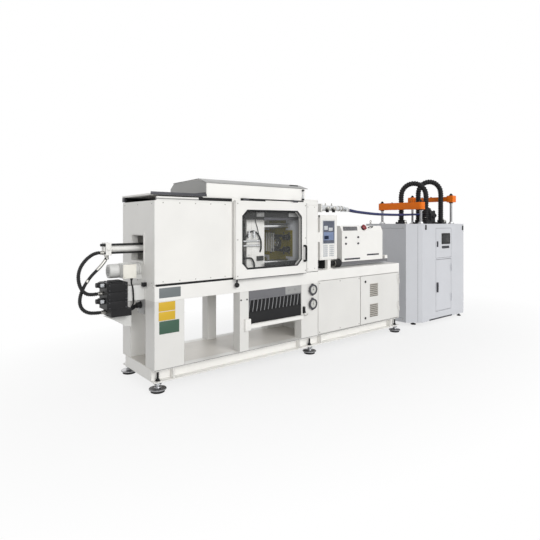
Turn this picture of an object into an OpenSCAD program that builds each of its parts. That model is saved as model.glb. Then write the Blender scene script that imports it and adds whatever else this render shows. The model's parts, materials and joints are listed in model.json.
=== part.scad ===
// Liquid silicone injection molding machine with its two-component dosing unit.
// Millimetres, +Z up, operator side towards -Y, clamp end towards -X.
// Pieces are drawn from the base frame's front left corner, then centred by placed().

/* [Base frame] */
// Width of the base frame, front to back
base_w = 750; // [720:10:820]
// Height of the levelling feet
foot_h = 90; // [70:5:110]
// Diameter of a foot's pad
foot_d = 160; // [120:5:180]
// Height of the bottom rails
rail_h = 118; // [100:2:130]
// Depth of a bottom rail, front to back
rail_d = 80; // [60:5:100]
// Thickness of the channel rails
rail_t = 10; // [6:1:14]
// Thickness of the floor pan
pan_t = 8; // [4:1:12]
// Width of the bottom and top crossbars
cross_w = 110; // [90:5:115]
// Width of the left legs along the machine
leg_w = 300; // [260:10:330]
// Depth of the left legs, front to back
end_leg_d = 195; // [150:5:220]
// Depth of the columns and beams, front to back
leg_d = 115; // [100:5:130]
// Length of the open bay beside the left legs
bay_l = 640; // [600:10:680]
// Width of the middle columns
mid_w = 115; // [110:5:130]
// Length of the chute bay
chute_l = 755; // [700:5:800]
// Width of the columns under the fixed platen
col_w = 270; // [240:10:300]
// Height of the top beams
beam_h = 137; // [110:1:150]
// Level of the top of the beams
beam_top = 965; // [930:5:975]

/* [Injection base] */
// Level of the bed under the injection unit
bed_top = 975; // [960:5:1000]
// Height of the bed slab
bed_h = 125; // [110:5:140]
// Length of the pump housing
pump_l = 784; // [740:2:820]
// Length of the electrical cabinet
cab_l = 846; // [800:2:900]
// Thickness of base panels and doors
panel_t = 20; // [12:1:25]
// Thickness of the electrical cabinet's walls
cab_t = 20; // [12:1:25]
// Gap round doors and panels
seam = 6; // [5:0.5:8]
// Length of a louvre vent in the electrical door
vent_l = 170; // [140:5:200]
// Height of a louvre vent in the electrical door
vent_h = 174; // [140:2:200]

/* [Chute and gauges] */
// Height of the chute curtain
curtain_h = 348; // [300:4:380]
// Depth of the curtain's folds
curtain_t = 30; // [20:1:40]
// Height of the lip under the curtain
lip_h = 30; // [20:1:40]
// Diameter of a pressure gauge
gauge_d = 100; // [80:2:110]
// Depth of a pressure gauge
gauge_l = 30; // [20:1:40]

/* [Guard] */
// Level of the guard's bottom edge
guard_z = 986; // [980:1:1010]
// Level of the guard's top edge
guard_top = 1750; // [1700:5:1765]
// Thickness of the guard panels
guard_t = 25; // [15:1:30]
// Length of the fixed left panel
left_l = 843; // [835:1:880]
// Height of the upper tracks
track_h = 50; // [40:2:60]
// Thickness of the flat lid
lid_t = 18; // [10:1:25]
// Length of the hood over the mould space
hood_l = 1326; // [1250:2:1380]
// Height of the hood
hood_h = 185; // [150:5:200]
// Reach of the hood behind the base
hood_over = 20; // [0:5:40]
// Width of the slots for the clamp cylinder and the barrel
slot_w = 280; // [240:5:300]
// Height of the slot for the clamp cylinder
slot_h = 250; // [200:5:280]

/* [Gate] */
// Length of the sliding gate
gate_l = 991; // [975:1:1020]
// Thickness of the gate
gate_t = 45; // [30:1:50]
// Running gap between gate and guard
gate_gap = 10; // [6:1:14]
// Lap of the closed gate over the right panel
gate_lap = 44; // [30:1:60]
// Level of the gate's lower edge
gate_z = 971; // [968:1:976]
// Level of the gate's upper edge
gate_top = 1772; // [1768:1:1790]
// Width of the gate's side stiles
stile_w = 86; // [70:1:110]
// Height of the gate's rails
stile_h = 98; // [80:1:120]
// Size of the window's cut corners
window_cut = 65; // [40:1:90]
// Thickness of the window
window_t = 10; // [6:1:14]
// Length of the handle
handle_l = 195; // [160:5:240]
// Reach of the handle in front of the gate
handle_reach = 50; // [40:2:60]
// Thickness of the handle
handle_w = 24; // [18:1:28]
// Travel of the gate
gate_travel = 830; // [780:5:840]

/* [Clamp unit] */
// Level of the clamp axis
axis_z = 1304; // [1290:2:1330]
// Width of the platens
platen_w = 560; // [520:5:580]
// Thickness of the fixed platen
fixed_t = 150; // [120:5:170]
// Thickness of the moving platen
moving_t = 180; // [140:5:200]
// Thickness of the tail platen
tail_t = 120; // [100:5:140]
// Tie bar spacing
tie_pitch = 415; // [390:5:430]
// Tie bar diameter
tie_d = 60; // [50:2:70]
// Daylight between the platens
daylight = 425; // [400:5:460]
// Closing stroke of the moving platen
stroke = 320; // [250:5:350]
// Length of the toggle links behind the moving platen
link_l = 310; // [260:5:340]
// Height of the clamp guide strips
strip_h = 20; // [16:1:26]

/* [Clamp drive] */
// Reach of the clamp cylinder beyond the end panel
cyl_reach = 324; // [280:2:360]
// Diameter of the cylinder barrel
cyl_d = 60; // [54:2:62]
// Size of the cylinder's square end caps
cap_w = 114; // [106:1:124]
// Length of the end caps
cap_l = 50; // [35:1:60]
// Diameter of the cylinder's tie rods
tie_rod_d = 17; // [12:1:20]
// Spacing of the cylinder's tie rods
tie_rod_pitch = 76; // [74:1:80]
// Length of the knob on the end cap
knob_l = 44; // [30:2:60]
// Diameter of the clamp rod
rod_d = 40; // [32:2:44]
// Diameter of the electric motor
motor_d = 125; // [100:1:130]
// Length of the electric motor
motor_l = 300; // [260:5:330]
// Level of the motor axis
motor_z = 1100; // [1090:2:1110]
// Reach of the valve manifold
valve_reach = 366; // [340:2:380]
// Length of the valve manifold
valve_l = 187; // [150:1:200]
// Depth of the valve manifold
valve_d = 200; // [160:5:220]
// Level of the manifold's top
valve_top = 1010; // [990:2:1020]
// Height of the valve manifold
valve_h = 240; // [220:2:250]
// Height of the port block under the manifold
port_h = 66; // [50:2:80]
// Reach of the solenoid plugs
plug_l = 64; // [40:2:80]

/* [Injection unit] */
// Length of the injection cover
cover_l = 844; // [780:2:880]
// Start of the injection cover behind the clamp end
cover_gap = 538; // [520:2:580]
// Depth of the cover, front to back
cover_d = 550; // [500:5:580]
// Level of the cover's lower edge
cover_z = 1042; // [1036:2:1060]
// Level of the cover's top
cover_top = 1504; // [1460:2:1540]
// Height of the cover's front chamfer
cut_h = 70; // [50:2:90]
// Depth of the cover's front chamfer
cut_d = 35; // [25:1:60]
// Diameter of the stop button
stop_d = 60; // [40:2:70]
// Diameter of the barrel
barrel_d = 88; // [70:2:100]
// Retraction of the injection unit
retract = 200; // [120:5:220]
// Height of the bed rails
slide_h = 25; // [20:1:30]
// Width of the bed rails
slide_w = 60; // [40:2:70]
// Spacing of the bed rails
slide_pitch = 280; // [260:5:300]
// Size of the pulling cylinder's end caps
pull_w = 110; // [90:2:116]

/* [Control panel] */
// Distance of the control panel from the guard
hmi_gap = 56; // [40:2:80]
// Width of the control panel
hmi_w = 300; // [250:5:320]
// Depth of the control panel
hmi_d = 90; // [60:5:110]
// Level of the control panel's lower edge
hmi_z = 1094; // [1080:1:1140]
// Height of the control panel
hmi_h = 545; // [450:1:560]

/* [Mixer] */
// Distance of the mixer from the guard
mixer_gap = 400; // [380:5:420]
// Level of the mixer axis
mixer_z = 1740; // [1700:5:1780]
// Length of the mixer
mixer_l = 510; // [440:5:520]
// Diameter of the mixer's flange
mixer_d = 110; // [100:2:120]
// Width of the mixer's stand
stand_w = 80; // [60:2:90]

/* [Dosing unit] */
// Distance of the dosing unit from the base
dose_gap = 365; // [350:5:500]
// Length of the dosing unit
dose_l = 1415; // [1380:5:1500]
// Depth of the dosing unit
dose_d = 900; // [880:5:940]
// Reach of the dosing unit in front of the base
dose_front = 20; // [10:5:40]
// Height of the dosing unit's feet
dose_foot = 50; // [40:2:60]
// Level of the dosing unit's top
dose_top_z = 1530; // [1500:5:1580]
// Thickness of the dosing unit's walls
dose_t = 20; // [12:1:25]
// Length of the corner chamfer along the machine
corner_l = 195; // [160:5:220]
// Depth of the corner chamfer
corner_d = 156; // [130:2:180]
// Start of the dosing door behind the left wall
door_x = 570; // [540:5:600]
// Width of the dosing door
door_w = 446; // [400:2:480]
// Level of the dosing door's lower edge
door_z = 176; // [150:2:220]
// Height of the dosing door
door_h = 794; // [700:2:820]

/* [Drum rams] */
// Setback of a ram beam from the cabinet's edge
ram_gap = 60; // [50:2:90]
// Size of the first ram beam
ram_a_w = 110; // [90:2:120]
// Size of the second ram beam
ram_b_w = 76; // [70:2:100]
// Level of the first beam's axis
ram_a_z = 1810; // [1780:5:1830]
// Level of the second beam's axis
ram_b_z = 1935; // [1920:5:1960]
// Place of the first beam along the dosing unit
ram_a_x = 345; // [330:5:350]
// Place of the second beam along the dosing unit
ram_b_x = 1125; // [1120:5:1150]
// Diameter of the ram rods
ram_rod_d = 40; // [24:2:44]
// Distance of a rod from its beam's end
ram_inset = 60; // [55:1:80]
// Lift of the rams
ram_lift = 300; // [200:10:320]

/* [Hidden] */

// Overrun of every cut, the gap where a piece slides on its seat, and the play of a rod in its bore
over = 1;
slip = 0.3;
play = 1.2;
$fn = 48;

// Places along the base
mid_x = leg_w + bay_l;
chute_x = mid_x + mid_w;
col_x = chute_x + chute_l;
clamp_l = col_x + col_w;
cab_x = clamp_l + pump_l;
base_l = cab_x + cab_l;

// Levels of the base
rail_top = foot_h + rail_h;
beam_z = beam_top - beam_h;
bed_z = bed_top - bed_h;
platen_z = beam_top + strip_h;

// Middle plane of the machine
mid_y = base_w / 2;

// Outer box of the rigid pieces, used to centre the part
x_low = -valve_reach - plug_l;
x_high = base_l + dose_gap + dose_l;
y_low = -gate_gap - gate_t - handle_reach;
y_high = dose_d - dose_front;
x_mid = (x_low + x_high) / 2;
y_mid = (y_low + y_high) / 2;

// Places of the clamp unit
fixed_share = 0.3;
fixed_x = col_x - fixed_share * fixed_t;
moving_x = fixed_x - daylight - moving_t;
tail_x = leg_w;
rod_bore = rod_d + play;
platen_h = 2 * (axis_z - platen_z);

// Places of the gate and its tracks
gate_x = left_l + gate_gap;
gate_y = -gate_gap - gate_t;
track_x = gate_x - gate_travel;
right_x = gate_x + gate_l - gate_lap;
window_x = gate_x + stile_w;
window_z = gate_z + stile_h;
window_l = gate_l - 2 * stile_w;
window_h = gate_top - gate_z - 2 * stile_h;
lid_z = guard_top + track_h;

// Places of the injection unit
cover_x = clamp_l + cover_gap;
cover_y = mid_y - cover_d / 2;
nozzle_x = fixed_x + fixed_t + gate_gap;
carriage_z = bed_top + slide_h + slip;

// Places of the dosing unit
dose_x = base_l + dose_gap;
dose_y = -dose_front;
dose_end = dose_x + dose_l;
dose_back = dose_y + dose_d;
dose_h = dose_top_z - dose_t - dose_foot;
ram_l = dose_d - ram_gap;

// Colours
paint = [0.93, 0.92, 0.89];
shade = [0.78, 0.78, 0.77];
black = [0.10, 0.10, 0.11];
steel = [0.70, 0.71, 0.72];
grey = [0.72, 0.74, 0.76];
orange = [0.90, 0.42, 0.14];
red = [0.75, 0.06, 0.10];
glass = [0.75, 0.72, 0.55, 0.4];
blue = [0.08, 0.16, 0.38];

// Moves what is drawn from the base corner into the part's own frame
module placed() {
  translate([-x_mid, -y_mid, 0]) children();
}

// Box from its low corner and its size
module block(x, y, z, l, d, h) {
  translate([x, y, z]) cube([l, d, h]);
}

// Rod along X
module rod_x(x, y, z, l, d) {
  translate([x, y, z]) rotate([0, 90, 0]) cylinder(h = l, d = d);
}

// Rod along Y
module rod_y(x, y, z, l, d) {
  translate([x, y, z]) rotate([-90, 0, 0]) cylinder(h = l, d = d);
}

// Rod along Z
module rod_z(x, y, z, l, d) {
  translate([x, y, z]) cylinder(h = l, d = d);
}

// Cone along X
module cone_x(x, y, z, l, d1, d2) {
  translate([x, y, z]) rotate([0, 90, 0]) cylinder(h = l, d1 = d1, d2 = d2);
}

// The same piece at the front and mirrored to the back of the base
module both_sides() {
  children();
  translate([0, base_w, 0]) mirror([0, 1, 0]) children();
}

// Profile in Y and Z, drawn along X
module along_x(x, l) {
  translate([x, 0, 0]) rotate([90, 0, 90]) linear_extrude(height = l) children();
}

// Profile in X and Z, drawn along Y
module along_y(y, d) {
  translate([0, y + d, 0]) rotate([90, 0, 0]) linear_extrude(height = d) children();
}

// Window outline with cut corners
module window_shape() {
  l = window_l;
  h = window_h;
  c = window_cut;
  translate([window_x, window_z])
    polygon([[c, 0], [l - c, 0], [l, c], [l, h - c], [l - c, h], [c, h], [0, h - c], [0, c]]);
}

// Base frame
foot_inset = 50;
foot_pad_share = 0.45;
foot_stem_share = 0.25;
foot_mid_share = 0.62;
foot_places = [foot_inset, col_x + foot_mid_share * col_w, base_l - foot_inset];

module feet() {
  pad_h = foot_pad_share * foot_h;
  color(shade) placed() both_sides()
    for (x = foot_places) {
      rod_z(x, rail_d / 2, 0, pad_h, foot_d);
      rod_z(x, rail_d / 2, pad_h - over, foot_h - pad_h + over, foot_stem_share * foot_d);
    }
}

// Channel rails, open to the outside
module base_rails() {
  color(paint) placed() both_sides()
    difference() {
      block(0, 0, foot_h, base_l, rail_d, rail_h);
      block(-over, -over, foot_h + rail_t, base_l + 2 * over, rail_d - rail_t + over, rail_h - 2 * rail_t);
    }
}

// Crossbars between the rails and between the top beams
module crossbars() {
  color(paint) placed() {
    for (x = [0, mid_x, col_x, base_l - cross_w])
      block(x, rail_d, foot_h, cross_w, base_w - 2 * rail_d, rail_h - pan_t);
    for (x = [0, mid_x, col_x])
      block(x, leg_d, beam_z, cross_w, base_w - 2 * leg_d, beam_h);
  }
}

module floor_pan() {
  color(shade) placed() block(0, rail_d, rail_top - pan_t, clamp_l, base_w - 2 * rail_d, pan_t);
}

module legs() {
  color(paint) placed() both_sides()
    for (p = [[0, leg_w, end_leg_d], [mid_x, mid_w, leg_d], [col_x, col_w, leg_d]])
      block(p[0], 0, rail_top, p[1], p[2], beam_z - rail_top);
}

module top_beams() {
  color(paint) placed() both_sides() block(0, 0, beam_z, clamp_l, leg_d, beam_h);
}

// Guide strips of the moving platen, and the bed rails of the injection unit
strip_share = 0.2;

module guide_rails() {
  strip_x = guard_t + gate_gap;
  color(steel) placed() both_sides() {
    block(strip_x, mid_y - platen_w / 2, beam_top, clamp_l - 2 * strip_x, strip_share * platen_w, strip_h);
    block(clamp_l + guard_t, mid_y - (slide_pitch + slide_w) / 2, bed_top, base_l - clamp_l - 2 * guard_t,
          slide_w, slide_h);
  }
}

// Injection base
module bed() {
  color(paint) placed() block(clamp_l, 0, bed_z, base_l - clamp_l, base_w, bed_h);
}

module pump_housing() {
  color(paint) placed() block(clamp_l, panel_t, rail_top, pump_l, base_w - panel_t, bed_z - rail_top);
}

module base_panel() {
  color(paint) placed()
    block(clamp_l + seam, 0, rail_top + seam, pump_l - 2 * seam, panel_t, bed_z - rail_top - 2 * seam);
}

// Door hinges: knuckles of one size on both doors
hinge_d = 16;
hinge_l = 60;
hinge_leaf = 4;
hinge_reach = 30;
hinge_shares = [0.15, 0.75];

// Lower, fixed knuckles of a door hung on its right side at the plane y
module fixed_knuckles(x, y, z, h) {
  for (s = hinge_shares) {
    rod_z(x, y - hinge_d / 2, z + s * h, hinge_l, hinge_d);
    block(x, y - hinge_leaf, z + s * h, hinge_reach, hinge_leaf, hinge_l);
  }
}

// Upper knuckles, on the door
module door_knuckles(x, y, z, h) {
  for (s = hinge_shares) {
    rod_z(x, y - hinge_d / 2, z + s * h + hinge_l + slip, hinge_l, hinge_d);
    block(x - hinge_reach, y - hinge_leaf, z + s * h + hinge_l + slip, hinge_reach, hinge_leaf, hinge_l);
  }
}

cab_h = bed_z - rail_top;
cab_door_l = base_l - cab_t - cab_x - 2 * seam;
cab_door_h = cab_h - 2 * seam;
cab_hinge_x = base_l - cab_t - seam / 2;

module cabinet_walls() {
  color(paint) placed() {
    block(cab_x, base_w - cab_t, rail_top, base_l - cab_x, cab_t, cab_h);
    block(base_l - cab_t, 0, rail_top, cab_t, base_w, cab_h);
    block(cab_x, panel_t + seam, rail_top, base_l - cab_x, base_w - panel_t - seam, cab_t);
    fixed_knuckles(cab_hinge_x, 0, rail_top, cab_h);
  }
}

vent_x_share = 0.23;
vent_z_shares = [0.12, 0.55];
vent_slots = 7;
vent_depth_share = 0.3;
latch_d = 30;
latch_inset = 90;
latch_shares = [0.12, 0.88];

// Door with two louvre vents, latches and its hinge knuckles
module electric_door() {
  x = cab_x + seam;
  z = rail_top + seam;
  pitch = vent_h / vent_slots;
  depth = vent_depth_share * panel_t;
  color(paint) placed() {
    difference() {
      block(x, 0, z, cab_door_l, panel_t, cab_door_h);
      for (s = vent_z_shares, i = [0 : vent_slots - 1])
        block(x + vent_x_share * cab_door_l, -over, z + s * cab_door_h + i * pitch,
              vent_l, depth + over, pitch / 2);
    }
    for (s = latch_shares)
      rod_y(x + latch_inset, -hinge_leaf, z + s * cab_door_h, hinge_leaf + over, latch_d);
    door_knuckles(cab_hinge_x, 0, rail_top, cab_h);
  }
}

// Chute and gauges
curtain_folds = 14;
curtain_skin_share = 0.3;

module chute_curtain() {
  pitch = (chute_l - 2 * seam) / curtain_folds / 2;
  skin = curtain_skin_share * curtain_t;
  front = [for (i = [0 : 2 * curtain_folds]) [chute_x + seam + i * pitch, seam + (i % 2) * (curtain_t - skin)]];
  back = [for (i = [2 * curtain_folds : -1 : 0]) front[i] + [0, skin]];
  color(black) placed()
    translate([0, 0, beam_z - curtain_h]) linear_extrude(height = curtain_h) polygon(concat(front, back));
}

module chute_lip() {
  color(paint) placed() block(chute_x, seam, beam_z - curtain_h - lip_h, chute_l, curtain_t, lip_h);
}

gauge_x_share = 0.63;
gauge_z_shares = [0.62, 0.89];

module gauges() {
  color(steel) placed()
    for (s = gauge_z_shares)
      rod_y(col_x + gauge_x_share * col_w, -gauge_l, rail_top + s * (beam_z - rail_top), gauge_l, gauge_d);
}

// Guard
// Lower and upper gate tracks, from the gate's open end to the clamp end
module gate_tracks() {
  color(black) placed() both_sides() {
    block(track_x, 0, beam_top, clamp_l - track_x, guard_t, guard_z - beam_top);
    block(track_x, 0, guard_top, clamp_l - track_x, guard_t, track_h);
  }
}

module guard_left_panel() {
  color(paint) placed() block(0, 0, guard_z, left_l, guard_t, guard_top - guard_z);
}

module guard_end_panel() {
  color(shade) placed()
    difference() {
      block(0, guard_t, beam_top, guard_t, base_w - 2 * guard_t, guard_top - beam_top);
      block(-over, mid_y - slot_w / 2, axis_z - slot_h / 2, guard_t + 2 * over, slot_w, slot_h);
    }
}

module guard_rear_panel() {
  color(paint) placed()
    difference() {
      block(0, base_w - guard_t, guard_z, clamp_l, guard_t, guard_top - guard_z);
      along_y(base_w - guard_t - over, guard_t + 2 * over) window_shape();
    }
}

module rear_window() {
  color(glass) placed() along_y(base_w - (guard_t + window_t) / 2, window_t) window_shape();
}

// Right front panel, and the two end panels beside the way of the barrel
module guard_right_panels() {
  color(paint) placed() {
    block(right_x, 0, guard_z, clamp_l - right_x, guard_t, guard_top - guard_z);
    both_sides()
      block(clamp_l - guard_t, guard_t, beam_top, guard_t, mid_y - slot_w / 2 - guard_t, guard_top - beam_top);
  }
}

hood_lap = 70;
hood_x = right_x + hood_lap - hood_l;

// Flat lid on both sides of the hood
module lid() {
  hood_end = hood_x + hood_l;
  color(paint) placed() {
    block(0, 0, lid_z, hood_x, base_w, lid_t);
    block(hood_end, 0, lid_z, clamp_l - hood_end, base_w, lid_t);
  }
}

// Corners of the hood's end in shares of its depth and height
hood_shares = [[0, 0], [0, 0.73], [0.19, 1], [0.9, 0.93], [1, 0.55], [1, 0]];

module hood() {
  color(paint) placed()
    along_x(hood_x, hood_l)
      polygon([for (s = hood_shares) [s[0] * (base_w + hood_over), lid_z + s[1] * hood_h]]);
}

// Gate
hanger_l = 60;
hanger_share = 0.7;
hanger_shares = [0.12, 0.82];
ball_d = 50;
ball_stem_d = 16;
ball_drop = 62;
ball_x = 30;

// Frame with its hangers on the upper track and the hanging stop ball
module gate() {
  color(paint) placed() {
    difference() {
      block(gate_x, gate_y, gate_z, gate_l, gate_t, gate_top - gate_z);
      along_y(gate_y - over, gate_t + 2 * over) window_shape();
    }
    for (s = hanger_shares)
      block(gate_x + s * gate_l, -gate_gap - over, guard_top, hanger_l, gate_gap + over - slip,
            hanger_share * (gate_top - guard_top));
    rod_z(gate_x + ball_x, gate_y + gate_t / 2, gate_z - ball_drop, ball_drop + over, ball_stem_d);
    translate([gate_x + ball_x, gate_y + gate_t / 2, gate_z - ball_drop]) sphere(d = ball_d);
  }
}

module gate_window() {
  color(glass) placed() along_y(gate_y + (gate_t - window_t) / 2, window_t) window_shape();
}

handle_z_share = 0.16;

module gate_handle() {
  x = gate_x + gate_l - (stile_w + handle_w) / 2;
  z = gate_z + handle_z_share * (gate_top - gate_z);
  color(black) placed()
    difference() {
      block(x, gate_y - handle_reach, z, handle_w, handle_reach, handle_l);
      block(x - over, gate_y - handle_reach + handle_w, z + handle_w, handle_w + 2 * over,
            handle_reach - handle_w + over, handle_l - 2 * handle_w);
    }
}

// Clamp unit
tie_places = [for (y = [-1, 1], z = [-1, 1]) [mid_y + y * tie_pitch / 2, axis_z + z * tie_pitch / 2]];

// Square plate across the clamp axis with its tie bar holes and a middle bore
module platen(x, t, lift, hole_d, bore_d) {
  difference() {
    block(x, mid_y - platen_w / 2, platen_z + lift, t, platen_w, platen_h - lift);
    for (p = tie_places)
      rod_x(x - over, p[0], p[1], t + 2 * over, hole_d);
    rod_x(x - over, mid_y, axis_z, t + 2 * over, bore_d);
  }
}

module tail_platen() {
  color(shade) placed() platen(tail_x, tail_t, 0, tie_d, rod_bore);
}

module fixed_platen() {
  color(shade) placed() platen(fixed_x, fixed_t, 0, tie_d, barrel_d);
}

module moving_platen() {
  color(paint) placed() platen(moving_x, moving_t, slip, tie_d + play, rod_d);
}

tie_end_share = 0.6;

module tie_bars() {
  tie_end = tie_end_share * tie_d;
  color(steel) placed()
    for (p = tie_places)
      rod_x(tail_x - tie_end, p[0], p[1], fixed_x + fixed_t - tail_x + 2 * tie_end, tie_d);
}

link_t = 40;
link_h = 90;
link_y_share = 0.3;
link_z_share = 0.29;

// Links and crosshead behind the moving platen, with the clamp rod
module toggle_links() {
  head_x = moving_x - link_l - link_t;
  head_h = tie_pitch - tie_d - 2 * gate_gap;
  rod_end = tail_x + tail_t / 2 - stroke;
  color(grey) placed() {
    for (y = [-1, 1], z = [-1, 1])
      block(moving_x - link_l, mid_y + y * link_y_share * platen_w - link_t / 2,
            axis_z + z * link_z_share * tie_pitch - link_h / 2, link_l, link_t, link_h);
    block(head_x, mid_y - link_y_share * platen_w - link_t / 2, axis_z - head_h / 2,
          link_t, 2 * link_y_share * platen_w + link_t, head_h);
    rod_x(rod_end, mid_y, axis_z, head_x - rod_end + over, rod_d);
  }
}

// Clamp drive
module clamp_cylinder() {
  color(paint) placed()
    difference() {
      union() {
        rod_x(-cyl_reach, mid_y, axis_z, cyl_reach + tail_x, cyl_d);
        for (x = [-cyl_reach, tail_x - cap_l])
          block(x, mid_y - cap_w / 2, axis_z - cap_w / 2, cap_l, cap_w, cap_w);
      }
      rod_x(-cyl_reach + cap_l, mid_y, axis_z, cyl_reach + tail_x - cap_l + over, rod_bore);
      for (y = [-1, 1], z = [-1, 1])
        rod_x(-cyl_reach - over, mid_y + y * tie_rod_pitch / 2, axis_z + z * tie_rod_pitch / 2,
              cyl_reach + tail_x + 2 * over, tie_rod_d);
    }
}

// Tie rods of the clamp cylinder, with the knob on the upper front one
knob_d = 25;

module clamp_tie_rods() {
  color(black) placed() {
    for (y = [-1, 1], z = [-1, 1])
      rod_x(-cyl_reach, mid_y + y * tie_rod_pitch / 2, axis_z + z * tie_rod_pitch / 2,
            cyl_reach + tail_x, tie_rod_d);
    rod_x(-cyl_reach - knob_l, mid_y - tie_rod_pitch / 2, axis_z + tie_rod_pitch / 2, knob_l, knob_d);
  }
}

motor_y_share = 0.445;
motor_foot_share = 0.3;
motor_foot_h = 42;
box_l_share = 0.4;
box_d_share = 0.6;

// Motor on its foot against the end panel, with the terminal box on its front
module pump_motor() {
  y = motor_y_share * base_w;
  foot_l = motor_foot_share * motor_l;
  box_l = box_l_share * motor_l;
  box_d = box_d_share * motor_d;
  color(grey) placed() {
    rod_x(-motor_l, y, motor_z, motor_l, motor_d);
    block(-foot_l, y - motor_d / 2, motor_z - motor_d / 2 - motor_foot_h / 2, foot_l, motor_d, motor_foot_h);
    block(-foot_l - box_l, y - motor_d / 2 - box_d, motor_z - motor_d / 2,
          box_l, box_d + motor_foot_h, motor_d);
  }
}

valve_y_share = 0.227;
plug_d = 44;
plug_z_shares = [0.31, 0.91];
port_inset = 36;

// Valve stack on its port block, with two solenoid plugs
module valve_manifold() {
  y = valve_y_share * base_w;
  z = valve_top - valve_h;
  color(black) placed() {
    block(-valve_reach, y, z, valve_l, valve_d, valve_h);
    block(-valve_reach + port_inset, y, z - port_h, valve_l, valve_d, port_h + over);
    for (s = plug_z_shares)
      rod_x(-valve_reach - plug_l, y + valve_d / 2, z + s * valve_h, plug_l + over, plug_d);
  }
}

bracket_share = 0.6;

module valve_bracket() {
  color(grey) placed()
    block(-valve_reach + valve_l, valve_y_share * base_w + (1 - bracket_share) * valve_d / 2, beam_z,
          valve_reach - valve_l, bracket_share * valve_d, beam_h);
}

// Control panel on its arm at the guard's end
hmi_y = 20;
hmi_arm_h = 120;
hmi_arm_share = 0.4;

module control_panel() {
  color(paint) placed() {
    block(clamp_l + hmi_gap, hmi_y, hmi_z, hmi_w, hmi_d, hmi_h);
    block(clamp_l, hmi_y, hmi_z + hmi_arm_share * hmi_h, hmi_gap + over, hmi_d, hmi_arm_h);
  }
}

// Injection unit
pull_rod_d = 20;
pull_cap_l = 100;
pull_box_l = 75;
pull_barrel_l = 135;
pull_barrel_share = 0.55;
pull_y = mid_y - (slide_pitch + slide_w + pull_w) / 2 - gate_gap;
pull_z = bed_top + pull_w / 2;
pull_end = cover_x - panel_t;
pull_rod_l = retract + pull_cap_l / 2 + panel_t;
post_w = 60;
post_h = 45;
post_gap = 80;

// Slide base with the rod of its pulling cylinder
module carriage() {
  color(grey) placed() {
    block(cover_x, cover_y + panel_t, carriage_z, cover_l + post_gap + post_w, cover_d - 2 * panel_t,
          cover_z - carriage_z);
    rod_x(cover_x - pull_rod_l, pull_y, pull_z, pull_rod_l + over, pull_rod_d);
  }
}

nozzle_l = 60;
nozzle_share = 0.3;

module barrel() {
  color(steel) placed() {
    rod_x(nozzle_x + nozzle_l, mid_y, axis_z, cover_x - nozzle_x - nozzle_l, barrel_d);
    cone_x(nozzle_x, mid_y, axis_z, nozzle_l + over, nozzle_share * barrel_d, barrel_d);
  }
}

module injection_cover() {
  color(paint) placed() {
    along_x(cover_x, cover_l)
      polygon([[cover_y, cover_z], [cover_y, cover_top - cut_h], [cover_y + cut_d, cover_top],
               [cover_y + cover_d, cover_top], [cover_y + cover_d, cover_z]]);
    block(cover_x + cover_l + post_gap, cover_y + panel_t, cover_z, post_w, post_w, post_h);
  }
}

stop_x_share = 0.526;
stop_z_share = 0.6;
stop_l = 40;

// Mushroom button square to the cover's chamfer
module stop_button() {
  color(red) placed()
    translate([cover_x + stop_x_share * cover_l, cover_y + stop_z_share * cut_d,
               cover_top - (1 - stop_z_share) * cut_h])
      rotate([90 - atan(cut_d / cut_h), 0, 0]) {
        cylinder(h = stop_l / 2, d = stop_d / 2);
        translate([0, 0, stop_l / 2 - slip]) cylinder(h = stop_l / 2, d = stop_d);
      }
}

// Cylinder that pulls the carriage along the bed
module pull_cylinder() {
  x = pull_end - pull_cap_l - pull_barrel_l;
  color(black) placed()
    difference() {
      union() {
        block(x - pull_box_l, pull_y - pull_w / 2, bed_top, pull_box_l, pull_w, pull_w);
        rod_x(x - over, pull_y, pull_z, pull_barrel_l + 2 * over, pull_barrel_share * pull_w);
        rod_x(pull_end - pull_cap_l, pull_y, pull_z, pull_cap_l, pull_w);
      }
      rod_x(cover_x - pull_rod_l - over, pull_y, pull_z, pull_rod_l, pull_rod_d + play);
    }
}

// Mixer with the feed block at its end
mixer_x = clamp_l + mixer_gap;
mixer_flange_l = 30;
mixer_neck_share = 0.55;
feed_block_l = 40;
feed_block_d = 120;
feed_block_h = 60;
feed_drop = 15;

module mixer() {
  color(steel) placed() {
    rod_x(mixer_x, mid_y, mixer_z, mixer_flange_l, mixer_d);
    cone_x(mixer_x + mixer_flange_l - over, mid_y, mixer_z, mixer_l - mixer_flange_l - feed_block_l / 2,
           (1 + mixer_neck_share) / 2 * mixer_d, mixer_neck_share * mixer_d);
    block(mixer_x + mixer_l - feed_block_l, mid_y - feed_block_d / 2, mixer_z - feed_drop - feed_block_h / 2,
          feed_block_l, feed_block_d, feed_block_h);
  }
}

stand_t = 16;

// Post behind the barrel's way, with the arm that carries the mixer's flange
module mixer_stand() {
  y = cover_y + cover_d - stand_w;
  color(paint) placed() {
    block(mixer_x - stand_t, y, bed_top, stand_t, stand_w, mixer_z + mixer_d / 2 - bed_top);
    block(mixer_x - stand_t, mid_y - mixer_d / 2, mixer_z - mixer_d / 2,
          stand_t, y - mid_y + mixer_d / 2 + over, mixer_d);
  }
}

// Dosing unit
module dosing_walls() {
  color(grey) placed() {
    block(dose_x, dose_y + corner_d, dose_foot, dose_t, dose_d - corner_d, dose_h);
    block(dose_end - dose_t, dose_y + dose_t, dose_foot, dose_t, dose_d - dose_t, dose_h);
    block(dose_x, dose_back - dose_t, dose_foot, dose_l, dose_t, dose_h);
    block(dose_x, dose_y + corner_d, dose_foot, dose_l, dose_d - corner_d, dose_t);
  }
}

dose_door_x = dose_x + door_x;
dose_hinge_x = dose_door_x + door_w + seam / 2;

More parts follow.
